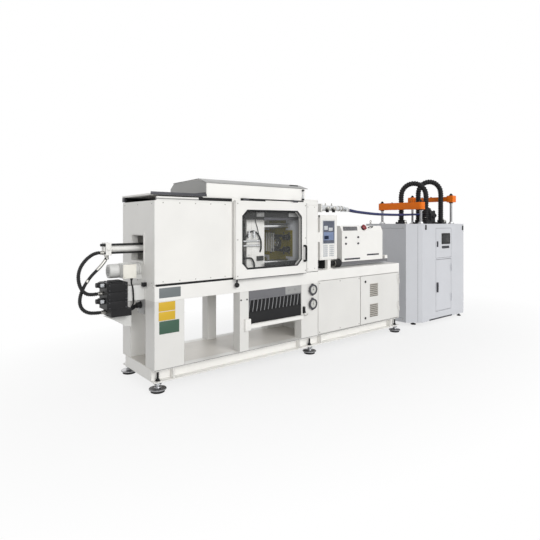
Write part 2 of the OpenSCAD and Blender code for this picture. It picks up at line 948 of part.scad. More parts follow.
// Front with the door's opening, the corner chamfer and the fixed hinge knuckles
module dosing_front() {
  color(grey) placed() {
    difference() {
      block(dose_x + corner_l, dose_y, dose_foot, dose_l - corner_l, dose_t, dose_h);
      block(dose_door_x - seam, dose_y - over, door_z - seam,
            door_w + 2 * seam, dose_t + 2 * over, door_h + 2 * seam);
    }
    translate([0, 0, dose_foot]) linear_extrude(height = dose_h)
      polygon([[dose_x, dose_y + corner_d], [dose_x + corner_l, dose_y],
               [dose_x + corner_l, dose_y + dose_t], [dose_x + dose_t, dose_y + corner_d]]);
    fixed_knuckles(dose_hinge_x, dose_y, door_z, door_h);
  }
}

ram_bore_d = ram_rod_d + play;
ram_a_y = dose_back - ram_l;
ram_b_y = dose_y;

// Places of the rods of both rams
ram_rods = [for (r = [[ram_a_x, ram_a_y], [ram_b_x, ram_b_y]], e = [ram_inset, ram_l - ram_inset])
  [dose_x + r[0], r[1] + e]];

module dosing_top() {
  color(grey) placed()
    difference() {
      translate([0, 0, dose_top_z - dose_t]) linear_extrude(height = dose_t)
        polygon([[dose_x, dose_back], [dose_x, dose_y + corner_d], [dose_x + corner_l, dose_y],
                 [dose_end, dose_y], [dose_end, dose_back]]);
      for (p = ram_rods)
        rod_z(p[0], p[1], dose_top_z - dose_t - over, dose_t + 2 * over, ram_bore_d);
    }
}

grip_h = 134;
grip_t = 20;
grip_share = 0.38;

// Door with its pull bar and hinge knuckles
module dosing_door() {
  color(grey) placed() {
    block(dose_door_x, dose_y, door_z, door_w, dose_t, door_h);
    block(dose_door_x + grip_t, dose_y - grip_t, door_z + grip_share * door_h, grip_t, grip_t + over, grip_h);
    door_knuckles(dose_hinge_x, dose_y, door_z, door_h);
  }
}

module dosing_feet() {
  color(black) placed()
    for (x = [dose_x + corner_l, dose_end - corner_l], y = [dose_y + corner_d, dose_back - corner_d])
      rod_z(x, y, 0, dose_foot, foot_d / 2);
}

// Pump block on the dosing unit's top, and a foot plate under each end of the hose loops
block_x = 725;
block_y = 200;
block_l = 160;
block_d = 140;
block_h = 210;
valve_arm_l = 90;
valve_arm_d = 60;
valve_arm_share = 0.65;
plate_w = 130;
plate_h = 25;

module pump_block() {
  color(black) placed() {
    block(dose_x + block_x, dose_y + block_y, dose_top_z, block_l, block_d, block_h);
    rod_x(dose_x + block_x + block_l - over, dose_y + block_y + block_d / 2,
          dose_top_z + valve_arm_share * block_h, valve_arm_l, valve_arm_d);
  }
  color(black)
    for (p = [loop_a[0], loop_a[len(loop_a) - 1], loop_b[0], loop_b[len(loop_b) - 1]])
      block(p[0] - plate_w / 2, p[1] - plate_w / 2, dose_top_z, plate_w, plate_w, plate_h);
}

ram_depth = 600;

// Crossbeam with round ends on its two rods
module ram(x, y, z, w) {
  block(x - w / 2, y + w / 2, z - w / 2, w, ram_l - w, w);
  for (e = [w / 2, ram_l - w / 2])
    rod_z(x, y + e, z - w / 2, w, w);
  for (e = [ram_inset, ram_l - ram_inset])
    rod_z(x, y + e, dose_top_z - ram_depth, z - dose_top_z + ram_depth, ram_rod_d);
}

module ram_a() {
  color(orange) placed() ram(dose_x + ram_a_x, ram_a_y, ram_a_z, ram_a_w);
}

// The second beam also has end blocks round its rods
ram_head = 110;

module ram_b() {
  color(orange) placed() {
    ram(dose_x + ram_b_x, ram_b_y, ram_b_z, ram_b_w);
    for (y = [ram_b_y, ram_b_y + ram_l - ram_head])
      block(dose_x + ram_b_x - ram_head / 2, y, ram_b_z - ram_head / 2, ram_head, ram_head, ram_head);
  }
}

// Guide tubes of the ram rods, hung under the top
tube_share = 1.6;
tube_l = ram_depth + ram_lift;

module ram_tubes() {
  color(steel) placed()
    for (p = ram_rods)
      difference() {
        rod_z(p[0], p[1], dose_top_z - dose_t - tube_l, tube_l, tube_share * ram_rod_d);
        rod_z(p[0], p[1], dose_top_z - dose_t - tube_l - over, tube_l + 2 * over, ram_bore_d);
      }
}

// Cords: routes in the part's own frame, chosen by hand
hose_d = 28;
feed_d = 30;
loop_d = 84;
cord_sides = 10;
hose_up = [[-2854, -30, 1270], [-2880, -30, 1270], [-2920, -34, 1270], [-2970, -42, 1254], [-3030, -55, 1210],
           [-3076, -68, 1150], [-3098, -80, 1080], [-3094, -90, 1010], [-3072, -96, 955], [-3034, -100, 918],
           [-2985, -100, 908], [-2935, -100, 910], [-2896, -100, 910]];
hose_low = [[-2830, -12, 1247], [-2830, -12, 1222], [-2850, -18, 1190], [-2885, -24, 1150], [-2925, -32, 1112],
            [-2975, -42, 1066], [-3020, -50, 1012], [-3056, -56, 950], [-3078, -62, 885], [-3080, -68, 825],
            [-3056, -74, 776], [-3010, -78, 746], [-2955, -80, 737], [-2900, -80, 736], [-2860, -80, 736]];
feed_a = [[460, -42, 1725], [520, -42, 1725], [650, -50, 1706], [850, -62, 1690], [1050, -74, 1678],
          [1250, -86, 1672], [1450, -98, 1670], [1650, -108, 1671], [1850, -118, 1675], [2050, -127, 1681],
          [2200, -132, 1685], [2270, -132, 1685]];
feed_b = [[460, 18, 1725], [520, 18, 1725], [650, 10, 1704], [850, -2, 1687], [1050, -16, 1674],
          [1250, -30, 1667], [1450, -44, 1665], [1650, -56, 1666], [1850, -66, 1671], [2050, -76, 1679],
          [2200, -84, 1685], [2270, -84, 1685]];
loop_a = [[2000, 140, 1555], [2000, 140, 1700], [2000, 140, 1850], [2000, 140, 1985], [2011, 117, 2080],
          [2043, 55, 2152], [2085, -30, 2178], [2127, -115, 2152], [2159, -177, 2080], [2170, -200, 1985],
          [2170, -200, 1850], [2170, -200, 1700], [2170, -200, 1555]];
loop_b = [[2270, 0, 1555], [2270, 0, 1700], [2270, 0, 1860], [2270, 0, 2026], [2288, -16, 2121],
          [2337, -60, 2191], [2405, -120, 2216], [2473, -180, 2191], [2522, -224, 2121], [2540, -240, 2026],
          [2540, -240, 1860], [2540, -240, 1700], [2540, -240, 1555]];

// A direction across each route that no stretch of it follows
hose_across = [0, 1, 0];
feed_across = [0, 0, 1];
loop_a_across = [2, 1, 0];
loop_b_across = [8, 9, 0];

function unit(v) = v / norm(v);
function along(p, i) = unit(p[min(i + 1, len(p) - 1)] - p[max(i - 1, 0)]);
function ring(p, i, d, across) = let (t = along(p, i), u = unit(cross(across, t)), w = cross(t, u))
  [for (k = [0 : cord_sides - 1]) let (a = 360 * k / cord_sides) p[i] + d / 2 * (cos(a) * u + sin(a) * w)];

// Tube of diameter d along the points p
module tube(p, d, across) {
  n = cord_sides;
  m = len(p);
  points = [for (i = [0 : m - 1]) each ring(p, i, d, across)];
  sides = [for (i = [0 : m - 2], k = [0 : n - 1])
    [i * n + k, i * n + (k + 1) % n, (i + 1) * n + (k + 1) % n, (i + 1) * n + k]];
  first = [for (k = [n - 1 : -1 : 0]) k];
  last = [for (k = [0 : n - 1]) (m - 1) * n + k];
  polyhedron(points = points, faces = concat([first], sides, [last]), convexity = 4);
}

module hose_upper() {
  color(black) tube(hose_up, hose_d, hose_across);
}

module hose_lower() {
  color(black) tube(hose_low, hose_d, hose_across);
}

module feed_hose_a() {
  color(blue) tube(feed_a, feed_d, feed_across);
}

module feed_hose_b() {
  color(blue) tube(feed_b, feed_d, feed_across);
}

module loop_hose_a() {
  color(black) tube(loop_a, loop_d, loop_a_across);
}

module loop_hose_b() {
  color(black) tube(loop_b, loop_d, loop_b_across);
}

feet();
base_rails();
crossbars();
floor_pan();
legs();
top_beams();
guide_rails();
bed();
pump_housing();
base_panel();
cabinet_walls();
electric_door();
chute_curtain();
chute_lip();
gauges();
gate_tracks();
guard_left_panel();
guard_end_panel();
guard_rear_panel();
rear_window();
guard_right_panels();
lid();
hood();
gate();
gate_window();
gate_handle();
tail_platen();
fixed_platen();
moving_platen();
tie_bars();
toggle_links();
clamp_cylinder();
clamp_tie_rods();
pump_motor();
valve_manifold();
valve_bracket();
control_panel();
carriage();
barrel();
injection_cover();
stop_button();
pull_cylinder();
mixer();
mixer_stand();
dosing_walls();
dosing_front();
dosing_top();
dosing_door();
dosing_feet();
pump_block();
ram_a();
ram_b();
ram_tubes();
hose_upper();
hose_lower();
feed_hose_a();
feed_hose_b();
loop_hose_a();
loop_hose_b();
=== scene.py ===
"""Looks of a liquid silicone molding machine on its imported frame. Metres, +Z up."""
import json
import math
from itertools import product

import bmesh
import bpy
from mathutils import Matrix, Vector


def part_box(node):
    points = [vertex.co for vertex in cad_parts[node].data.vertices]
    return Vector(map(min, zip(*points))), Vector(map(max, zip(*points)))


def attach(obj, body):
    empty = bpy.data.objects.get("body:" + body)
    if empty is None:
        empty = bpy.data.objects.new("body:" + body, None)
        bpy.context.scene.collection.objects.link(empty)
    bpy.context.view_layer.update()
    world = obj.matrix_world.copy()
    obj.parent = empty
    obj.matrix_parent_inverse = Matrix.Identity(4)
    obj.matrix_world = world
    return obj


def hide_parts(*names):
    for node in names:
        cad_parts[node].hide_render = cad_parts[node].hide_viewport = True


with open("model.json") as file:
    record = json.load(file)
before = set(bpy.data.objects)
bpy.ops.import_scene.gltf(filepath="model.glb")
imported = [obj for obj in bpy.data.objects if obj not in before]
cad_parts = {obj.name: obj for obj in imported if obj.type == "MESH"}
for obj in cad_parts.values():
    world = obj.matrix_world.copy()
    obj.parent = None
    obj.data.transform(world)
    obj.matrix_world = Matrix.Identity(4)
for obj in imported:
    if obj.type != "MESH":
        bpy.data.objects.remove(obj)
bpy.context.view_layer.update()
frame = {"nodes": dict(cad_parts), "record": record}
NODES = frame["nodes"]
BOX = {name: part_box(name) for name in NODES}
X, Y, Z = Vector((1, 0, 0)), Vector((0, 1, 0)), Vector((0, 0, 1))
CORNER = Vector((BOX["base_rails"][0].x, BOX["base_rails"][0].y, 0))


def at(u, v, z):
    """Point measured right, back and up from the base's front left corner on the floor."""
    return CORNER + Vector((u, v, z))


def spot(node, x, y, z):
    """Point in a node's box, by shares of its length, depth and height."""
    low, high = BOX[node]
    return Vector(a + s * (b - a) for a, b, s in zip(low, high, (x, y, z)))


# Camera at the photograph's standpoint
CAMERA_AT = at(-1.755, -3.8, 1.543)
CAMERA_LOOK = Vector((0.63184, 0.77506, 0))
CAMERA_LENS = 30.0
HORIZON_SHIFT = -47 / 540

camera = bpy.data.objects.new("camera", bpy.data.cameras.new("camera"))
camera.data.lens = CAMERA_LENS
camera.data.shift_y = HORIZON_SHIFT
camera.location = CAMERA_AT
camera.rotation_euler = CAMERA_LOOK.to_track_quat("-Z", "Y").to_euler()
bpy.context.scene.collection.objects.link(camera)
bpy.context.scene.camera = camera


# Finishes
DARK = 0.06


class Look:
    """A material under construction: its shader and short ways to add nodes to it."""

    def __init__(self, name, color, roughness, metallic=0.0):
        self.mat = bpy.data.materials.new(name)
        self.mat.use_nodes = True
        self.tree = self.mat.node_tree
        self.shader = self.tree.nodes["Principled BSDF"]
        self.set(Base_Color=(*color, 1.0), Roughness=roughness, Metallic=metallic)
        if max(color) < DARK:
            self.set(Specular_IOR_Level=0.22)

    def set(self, **values):
        self._fill(self.shader, values)

    def add(self, kind, **values):
        node = self.tree.nodes.new(kind)
        self._fill(node, values)
        return node

    def _fill(self, node, values):
        for name, value in values.items():
            socket = node.inputs[name.replace("_", " ")]
            if isinstance(value, bpy.types.NodeSocket):
                self.tree.links.new(value, socket)
            else:
                socket.default_value = value

    def place(self, source="Object", scale=(1, 1, 1), turn=(0, 0, 0)):
        """Texture coordinates, stretched and turned."""
        start = self.add("ShaderNodeTexCoord").outputs[source]
        return self.add("ShaderNodeMapping", Vector=start, Scale=scale, Rotation=turn).outputs["Vector"]

    def noise(self, scale, detail=3.0, stretch=(1, 1, 1)):
        node = self.add("ShaderNodeTexNoise", Vector=self.place(scale=stretch), Scale=scale, Detail=detail)
        return node.outputs["Fac"]

    def span(self, value, low, high, start=0.0, end=1.0):
        """A value between start and end, mapped to run from low to high."""
        node = self.add("ShaderNodeMapRange", Value=value, From_Min=start, From_Max=end,
                        To_Min=low, To_Max=high)
        return node.outputs["Result"]

    def mix(self, factor, first, second):
        """Colour between two colours, or between a socket and a colour."""
        node = self.add("ShaderNodeMix")
        node.data_type = "RGBA"
        self.tree.links.new(factor, node.inputs["Factor"])
        for socket, value in zip([s for s in node.inputs if s.type == "RGBA"], (first, second)):
            if isinstance(value, bpy.types.NodeSocket):
                self.tree.links.new(value, socket)
            else:
                socket.default_value = (*value, 1.0)
        return [s for s in node.outputs if s.type == "RGBA"][0]

    def rounding(self, radius):
        """Normal that rounds sharp edges."""
        node = self.add("ShaderNodeBevel", Radius=radius)
        node.samples = 4
        return node.outputs["Normal"]

    def maths(self, kind, operation, *values):
        """Result of a maths node on these values."""
        node = self.add(kind)
        node.operation = operation
        for value, socket in zip(values, node.inputs):
            self.tree.links.new(value, socket)
        return node.outputs["Value"]

    def edges(self, rounded):
        """1 on edges, 0 on flat faces, broken up by a noise."""
        face = self.add("ShaderNodeNewGeometry").outputs["Normal"]
        flat = self.maths("ShaderNodeVectorMath", "DOT_PRODUCT", rounded, face)
        edge = self.span(flat, 1.0, 0.0, 0.82, 0.995)
        patches = self.span(self.noise(26.0), 0.0, 1.0, 0.42, 0.66)
        return self.maths("ShaderNodeMath", "MULTIPLY", edge, patches)

    def bump(self, height, strength, distance=0.001, normal=None):
        node = self.add("ShaderNodeBump", Height=height, Strength=strength, Distance=distance)
        if normal:
            self.tree.links.new(normal, node.inputs["Normal"])
        self.set(Normal=node.outputs["Normal"])


def paint(name, color, worn, roughness=0.38, cloud=0.94, gloss=0.5):
    """Sprayed enamel: orange peel, faint clouding, and edges rubbed towards the worn colour."""
    look = Look(name, color, roughness)
    if gloss < 0.5:
        look.set(Specular_IOR_Level=gloss)
    patches = look.span(look.noise(2.4), 0.0, 1.0, 0.35, 0.75)
    rounded = look.rounding(0.004)
    body = look.mix(patches, color, [c * cloud for c in color])
    look.set(Base_Color=look.mix(look.edges(rounded), body, worn))
    look.set(Roughness=look.span(look.noise(11.0), roughness - 0.07, roughness + 0.09))
    look.bump(look.noise(520.0, 1.0), 0.05, 0.0006, rounded)
    return look.mat


def metal(name, color, roughness, grain=(1, 60, 60), mark=0.25):
    """Machined metal with fine tool marks along one axis."""
    look = Look(name, color, roughness, 1.0)
    marks = look.noise(14.0, 4.0, grain)
    look.set(Base_Color=look.mix(look.span(marks, 0.0, 0.7), color, [c * 0.72 for c in color]))
    look.set(Roughness=look.span(marks, roughness - 0.08, roughness + 0.14))
    look.bump(marks, mark, 0.0004, look.rounding(0.002))
    return look.mat


def plastic(name, color, roughness, speck=0.12):
    """Moulded plastic or rubber with a fine texture and dull, dusty patches."""
    look = Look(name, color, roughness)
    dust = look.span(look.noise(17.0), 0.0, 0.6, 0.45, 0.8)
    look.set(Base_Color=look.mix(dust, color, [c * 0.85 + 0.008 for c in color]))
    look.set(Roughness=look.span(look.noise(40.0), roughness - 0.06, roughness + 0.1))
    look.bump(look.noise(900.0, 1.0), speck, 0.0005, look.rounding(0.002))
    return look.mat


def braid(name, color, roughness):
    """Hose cover with a diagonal braid that follows the hose."""
    look = Look(name, color, roughness)
    round_and_along = look.place("UV", (14, 260, 1), (0, 0, math.pi / 4))
    weave = look.add("ShaderNodeTexChecker", Vector=round_and_along, Scale=1.0)
    strand = weave.outputs["Fac"]
    look.set(Base_Color=look.mix(strand, color, [c * 0.6 + 0.014 for c in color]))
    look.set(Roughness=look.span(strand, roughness - 0.08, roughness + 0.08))
    look.bump(strand, 0.25, 0.0006)
    return look.mat


def clear(name, color, alpha):
    """Window sheet: see-through, with faint smears."""
    look = Look(name, color, 0.06)
    smear = look.noise(5.0, 5.0, (1, 1, 0.25))
    look.set(Roughness=look.span(smear, 0.03, 0.2, 0.4, 0.8))
    look.set(Base_Color=look.mix(look.span(smear, 0.0, 1.0), color, [c * 0.85 for c in color]))
    look.set(Alpha=alpha, Specular_IOR_Level=0.3)
    return look.mat


def display(name, top, bottom, glow):
    """Lit screen with a soft gradient and rows of plain blocks."""
    look = Look(name, bottom, 0.18)
    upright = look.place(scale=(22, 22, 22), turn=(math.pi / 2, 0, 0))
    tiles = look.add("ShaderNodeTexBrick", Vector=upright, Scale=1.0)
    for socket, color in zip(("Color1", "Color2", "Mortar"), (top, [c * 0.6 + 0.1 for c in top], bottom)):
        tiles.inputs[socket].default_value = (*color, 1.0)
    tiles.inputs["Mortar Size"].default_value = 0.09
    picture = look.mix(look.span(look.noise(9.0, 2.0), 0.0, 1.0, 0.4, 0.62), tiles.outputs["Color"], bottom)
    look.set(Base_Color=picture, Emission_Color=picture)
    look.set(Emission_Strength=glow)
    return look.mat


WHITE = (0.86, 0.85, 0.82)
BLACK = (0.014, 0.014, 0.015)
EVEN = (1, 1, 1)
# Every finish by its kind, with the values that the kind's function takes after the name
KINDS = {
    paint: {
        "white_paint": (WHITE, (0.55, 0.53, 0.49)),
        # The next two are copies of the white paint: a darker one that paints shade on the lower parts, and a
        # brighter one that paints light on the hood
        "base_paint": ([0.87 * c for c in WHITE], (0.5, 0.48, 0.45)),
        "hood_paint": ([1.06 * c for c in WHITE], (0.6, 0.58, 0.54)),
        "pan_paint": ((0.80, 0.77, 0.72), (0.42, 0.40, 0.37), 0.45, 0.88),
        "grey_paint": ((0.60, 0.61, 0.64), (0.42, 0.43, 0.45), 0.34),
        "orange_paint": ((0.90, 0.19, 0.006), (0.33, 0.09, 0.02), 0.4, 0.85, 0.25),
        "black_paint": (BLACK, (0.12, 0.12, 0.12), 0.42),
        "plate_blue": ((0.165, 0.185, 0.19), (0.4, 0.42, 0.43), 0.32),
        "plate_yellow": ((0.66, 0.42, 0.025), (0.55, 0.4, 0.1), 0.36),
        "plate_green": ((0.04, 0.10, 0.065), (0.2, 0.27, 0.22), 0.36),
        # Two greys used for some grey parts and to paint shade: the dark one under the injection cover and in
        # the fan cover's slots, the mid one on the hood's top and ends, along the rails' top and down the
        # gate's right edge
        "shade_paint": ((0.15, 0.15, 0.16), (0.3, 0.3, 0.3), 0.4),
        "slope_paint": ((0.34, 0.34, 0.335), (0.25, 0.25, 0.25), 0.4),
        "motor_paint": ((0.70, 0.70, 0.68), (0.4, 0.4, 0.4), 0.4, 0.85),
        "vent_paint": ((0.46, 0.43, 0.38), (0.3, 0.28, 0.25), 0.5),
        "oiled_face": ((0.30, 0.25, 0.03), (0.4, 0.36, 0.2), 0.4, 0.4, 0.15),
    },
    metal: {
        "machined_steel": ((0.58, 0.59, 0.60), 0.34),
        "bar_chrome": ((0.74, 0.75, 0.76), 0.16, (80, 1, 1), 0.1),
        "zinc": ((0.50, 0.49, 0.46), 0.4, EVEN, 0.1),
        "dark_steel": ((0.10, 0.10, 0.11), 0.42, EVEN, 0.15),
        "rod_steel": ((0.34, 0.34, 0.35), 0.28, (1, 1, 60), 0.1),
    },
    plastic: {
        "black_plastic": (BLACK, 0.46),
        "red_plastic": ((0.20, 0.006, 0.014), 0.3, 0.04),
        "curtain_rubber": ((0.017, 0.017, 0.018), 0.6, 0.3),
        "feed_rubber": ((0.008, 0.016, 0.10), 0.36, 0.08),
        "key_plastic": ((0.56, 0.58, 0.60), 0.4, 0.05),
        "cream_plastic": ((0.80, 0.78, 0.71), 0.42, 0.05),
        "dial_white": ((0.56, 0.56, 0.53), 0.5, 0.02),
        # Light grey for the curtain's pleat ridges, painting highlights on a black curtain
        "pleat_rubber": ((0.30, 0.30, 0.31), 0.4, 0.1),
        "filter_mat": ((0.20, 0.19, 0.17), 0.8, 0.5),
    },
    braid: {"hose_rubber": ((0.013, 0.013, 0.014), 0.5)},
    clear: {"window_glass": ((0.8, 0.82, 0.8), 0.03), "amber_sheet": ((0.36, 0.30, 0.05), 0.82)},
    display: {
        "screen_blue": ((0.24, 0.32, 0.50), (0.12, 0.16, 0.27), 0.25),
        "screen_slate": ((0.14, 0.15, 0.21), (0.06, 0.07, 0.10), 0.15),
        "screen_dark": ((0.022, 0.026, 0.03), (0.010, 0.011, 0.012), 0.02),
    },
}
FINISH = {name: kind(name, *values) for kind, table in KINDS.items() for name, values in table.items()}
# Nodes that wear a finish other than their slot's
OTHER_FINISH = {
    "amber_sheet": ("rear_window",),
    "motor_paint": ("pump_motor", "valve_bracket", "tail_platen"),
    # The carriage wears the dark grey that paints the shade of the recess under the injection cover
    "shade_paint": ("carriage",),
    "bar_chrome": ("mixer",),
    # The legs, base panel, doors, pump housing and cabinet wear the darker white, which paints shade on the
    # lower parts
    "base_paint": ("legs", "base_panel", "electric_door", "pump_housing", "cabinet_walls"),
}

for part in frame["record"]["subparts"]:
    mesh = NODES[part["node"]].data
    mesh.materials.clear()
    mesh.materials.append(FINISH[part["material_slot"]])
for finish, nodes in OTHER_FINISH.items():
    for node in nodes:
        NODES[node].data.materials[0] = FINISH[finish]


# Ways to draw a piece
PIECES = []
HOSES = ("hose_upper", "hose_lower", "feed_hose_a", "feed_hose_b", "loop_hose_a", "loop_hose_b")
# Pieces that stand for a node of the frame
REPLACES = {
    "foot_pads": "feet", "gauge_cases": "gauges", "gate_grip": "gate_handle", "hood_cover": "hood",
    "gate_tracks_dark": "gate_tracks", "stop_mushroom": "stop_button", "dosing_foot_pads": "dosing_feet",
    "ram_a_beam": "ram_a", "ram_b_beam": "ram_b", **{node + "_cover": node for node in HOSES},
}
SHARP_EDGE = math.radians(32)


def octagon(x0, z0, x1, z1, cut):
    """Rectangle with cut corners, as (x, z) points."""
    return [(x0 + cut, z0), (x1 - cut, z0), (x1, z0 + cut), (x1, z1 - cut),
            (x1 - cut, z1), (x0 + cut, z1), (x0, z1 - cut), (x0, z0 + cut)]


def grown(rectangle, by, cut):
    """Rectangle made larger on all sides, with its corners cut."""
    x0, z0, x1, z1 = rectangle
    return x0 - by, z0 - by, x1 + by, z1 + by, cut


def circle(radius, count, shift=0.0):
    """Points on a circle, evenly spaced."""
    turns = [2 * math.pi * (k + shift) / count for k in range(count)]
    return [(radius * math.cos(a), radius * math.sin(a)) for a in turns]


def spread(low, high, count):
    """Middles of equal shares of a length."""
    return [low + (i + 0.5) / count * (high - low) for i in range(count)]


def bevelled(part, width, **how):
    """Bevel all edges of a shape."""
    bmesh.ops.bevel(part, geom=part.edges[:], offset=width, affect="EDGES", **how)


ROUNDED = {"segments": 2, "profile": 0.7}


class Piece:
    """A mesh piece of boxes, turned shapes, outlines, bands and tubes, measured from a start point."""

    def __init__(self, name, finish, start=(0, 0, 0), body="machine"):
        self.name, self.finish, self.body = name, finish, body
        self.start = Vector(start)
        self.bm = bmesh.new()
        self.obj = None
        PIECES.append(self)

    def _take(self, part):
        """Add a shape that is measured from the start point."""
        bmesh.ops.translate(part, verts=part.verts[:], vec=self.start)
        mesh = bpy.data.meshes.new(self.name)
        part.to_mesh(mesh)
        part.free()
        self.bm.from_mesh(mesh)
        bpy.data.meshes.remove(mesh)

    def box(self, low, high, bevel=0.002, foot=(0, 0, 0), axes=(X, Y, Z)):
        """A bevelled box from corner to corner, measured along three axes from a foot."""
        part = bmesh.new()
        bmesh.ops.create_cube(part, size=1.0)
        for v in part.verts:
            v.co = [(a + b) / 2 + c * (b - a) for a, b, c in zip(low, high, v.co)]
        bevelled(part, bevel, **ROUNDED)
        for v in part.verts:
            v.co = Vector(foot) + axes[0] * v.co.x + axes[1] * v.co.y + axes[2] * v.co.z
        self._take(part)

    def turned(self, foot, axis, profile, sides=28):
        """A profile of (distance, radius) pairs, turned round an axis."""
        part = bmesh.new()
        axis = axis.normalized()
        side = axis.orthogonal().normalized()
        up = axis.cross(side)
        spokes = [a * side + b * up for a, b in circle(1.0, sides)]
        rings = [[part.verts.new(Vector(foot) + axis * d + s * r) for s in spokes] for d, r in profile]
        for low, high in zip(rings, rings[1:]):
            for k in range(sides):
                n = (k + 1) % sides
                part.faces.new((low[k], low[n], high[n], high[k]))
        part.faces.new(rings[0][::-1])
        part.faces.new(rings[-1])
        self._take(part)

    def outline(self, points, depth, bevel=0.002):
        """A flat outline extruded along a vector."""
        part = bmesh.new()
        face = part.faces.new([part.verts.new(p) for p in points])
        made = bmesh.ops.extrude_face_region(part, geom=[face])
        moved = [v for v in made["geom"] if isinstance(v, bmesh.types.BMVert)]
        bmesh.ops.translate(part, verts=moved, vec=depth)
        bevelled(part, bevel, **ROUNDED)
        self._take(part)

    def band(self, outer, inner, y, depth, bevel=0.0015):
        """An upright frame between two rectangles with cut corners, from y backwards."""
        part = bmesh.new()
        shapes = (octagon(*outer), octagon(*inner))
        loops = [[part.verts.new((x, y + d, z)) for x, z in shape] for d in (0, depth) for shape in shapes]
        n = len(loops[0])
        for a, b in ((0, 1), (1, 3), (3, 2), (2, 0)):
            for k in range(n):
                m = (k + 1) % n
                part.faces.new((loops[a][k], loops[a][m], loops[b][m], loops[b][k]))
        bmesh.ops.recalc_face_normals(part, faces=part.faces[:])
        bevelled(part, bevel, segments=1)
        self._take(part)

    def tube(self, path, radius, sides=20):
        """A tube along a path, with UVs round and along it; gives its length.

        The radius is a number, or a function of the length."""
        part = bmesh.new()
        uv = part.loops.layers.uv.new("UVMap")
        path = [Vector(p) for p in path]
        side = (path[1] - path[0]).orthogonal().normalized()
        rings, lengths, run = [], [], 0.0
        for i, p in enumerate(path):
            ahead = (path[min(i + 1, len(path) - 1)] - path[max(i - 1, 0)]).normalized()
            side = (side - ahead * side.dot(ahead)).normalized()
            up = ahead.cross(side)
            run += (p - path[i - 1]).length if i else 0.0
            r = radius(run) if callable(radius) else radius
            rings.append([part.verts.new(p + a * side + b * up) for a, b in circle(r, sides)])
            lengths.append(run)
        for i in range(len(rings) - 1):
            for k in range(sides):
                n = (k + 1) % sides
                face = part.faces.new((rings[i][k], rings[i][n], rings[i + 1][n], rings[i + 1][k]))
                corners = ((k, i), (k + 1, i), (k + 1, i + 1), (k, i + 1))
                for loop, (a, b) in zip(face.loops, corners):
                    loop[uv].uv = (a / sides, lengths[b])
        part.faces.new(rings[0][::-1])
        part.faces.new(rings[-1])
        self._take(part)
        return run

    def each(self, head, xs, ys, zs, axis, *size):
        """The same screw or nut at every point of a grid."""
        for point in product(xs, ys, zs):
            head(self, point, axis, *size)

    def done(self):
        """The finished object: shaded, riding on its body, with the node it stands for hidden."""
        bmesh.ops.recalc_face_normals(self.bm, faces=self.bm.faces[:])
        mesh = bpy.data.meshes.new(self.name)
        self.bm.to_mesh(mesh)
        self.bm.free()
        mesh.polygons.foreach_set("use_smooth", [True] * len(mesh.polygons))
        mesh.set_sharp_from_angle(angle=SHARP_EDGE)
        mesh.materials.append(FINISH[self.finish])
        self.obj = bpy.data.objects.new(self.name, mesh)
        bpy.context.scene.collection.objects.link(self.obj)
        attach(self.obj, self.body)
        if self.name in REPLACES:
            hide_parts(REPLACES[self.name])
        return self.obj


def pieces(start, body="machine", **finishes):
    """Pieces with one start point and one body, by name and finish."""
    return [Piece(name, finish, start, body) for name, finish in finishes.items()]


def cap_screw(piece, point, axis, size):
    """Socket head screw of that head radius."""
    head = ((0, 1), (0.85, 1), (1, 0.9), (1, 0.52), (0.45, 0.5))
    piece.turned(point, axis, [(d * size, r * size) for d, r in head], 18)


def button_screw(piece, point, axis, size):
    """Low domed screw with a small socket."""
    head = ((0, 1), (0.25, 0.95), (0.5, 0.7), (0.55, 0.36), (0.3, 0.34))
    piece.turned(point, axis, [(d * size, r * size) for d, r in head], 16)


def hex_nut(piece, point, axis, size, height=0.8):
    """Hexagon with chamfered corners, on a washer."""
    washer, h = 0.15 * size, height * size
    piece.turned(point, axis, [(0, 1.25 * size), (washer, 1.25 * size)], 24)
    nut = [(0, 0.95 * size), (0.1 * h, size), (0.85 * h, size), (h, 0.9 * size)]
    piece.turned(Vector(point) + axis * washer, axis, nut, 6)


# Cords
HOSE_UP = [
    (-2.854, -0.030, 1.270), (-2.880, -0.030, 1.270), (-2.920, -0.034, 1.270), (-2.970, -0.042, 1.254),
    (-3.030, -0.055, 1.210), (-3.076, -0.068, 1.150), (-3.098, -0.080, 1.080), (-3.094, -0.090, 1.010),
    (-3.072, -0.096, 0.955), (-3.034, -0.100, 0.918), (-2.985, -0.100, 0.908), (-2.935, -0.100, 0.910),
    (-2.896, -0.100, 0.910)]
HOSE_LOW = [
    (-2.830, -0.012, 1.247), (-2.830, -0.012, 1.222), (-2.850, -0.018, 1.190), (-2.885, -0.024, 1.150),
    (-2.925, -0.032, 1.112), (-2.975, -0.042, 1.066), (-3.020, -0.050, 1.012), (-3.056, -0.056, 0.950),
    (-3.078, -0.062, 0.885), (-3.080, -0.068, 0.825), (-3.056, -0.074, 0.776), (-3.010, -0.078, 0.746),
    (-2.955, -0.080, 0.737), (-2.900, -0.080, 0.736), (-2.860, -0.080, 0.736)]
FEED_A = [
    (0.460, -0.042, 1.725), (0.520, -0.042, 1.725), (0.650, -0.050, 1.706), (0.850, -0.062, 1.690),
    (1.050, -0.074, 1.678), (1.250, -0.086, 1.672), (1.450, -0.098, 1.670), (1.650, -0.108, 1.671),
    (1.850, -0.118, 1.675), (2.050, -0.127, 1.681), (2.200, -0.132, 1.685), (2.270, -0.132, 1.685)]
FEED_B = [
    (0.460, 0.018, 1.725), (0.520, 0.018, 1.725), (0.650, 0.010, 1.704), (0.850, -0.002, 1.687),
    (1.050, -0.016, 1.674), (1.250, -0.030, 1.667), (1.450, -0.044, 1.665), (1.650, -0.056, 1.666),
    (1.850, -0.066, 1.671), (2.050, -0.076, 1.679), (2.200, -0.084, 1.685), (2.270, -0.084, 1.685)]
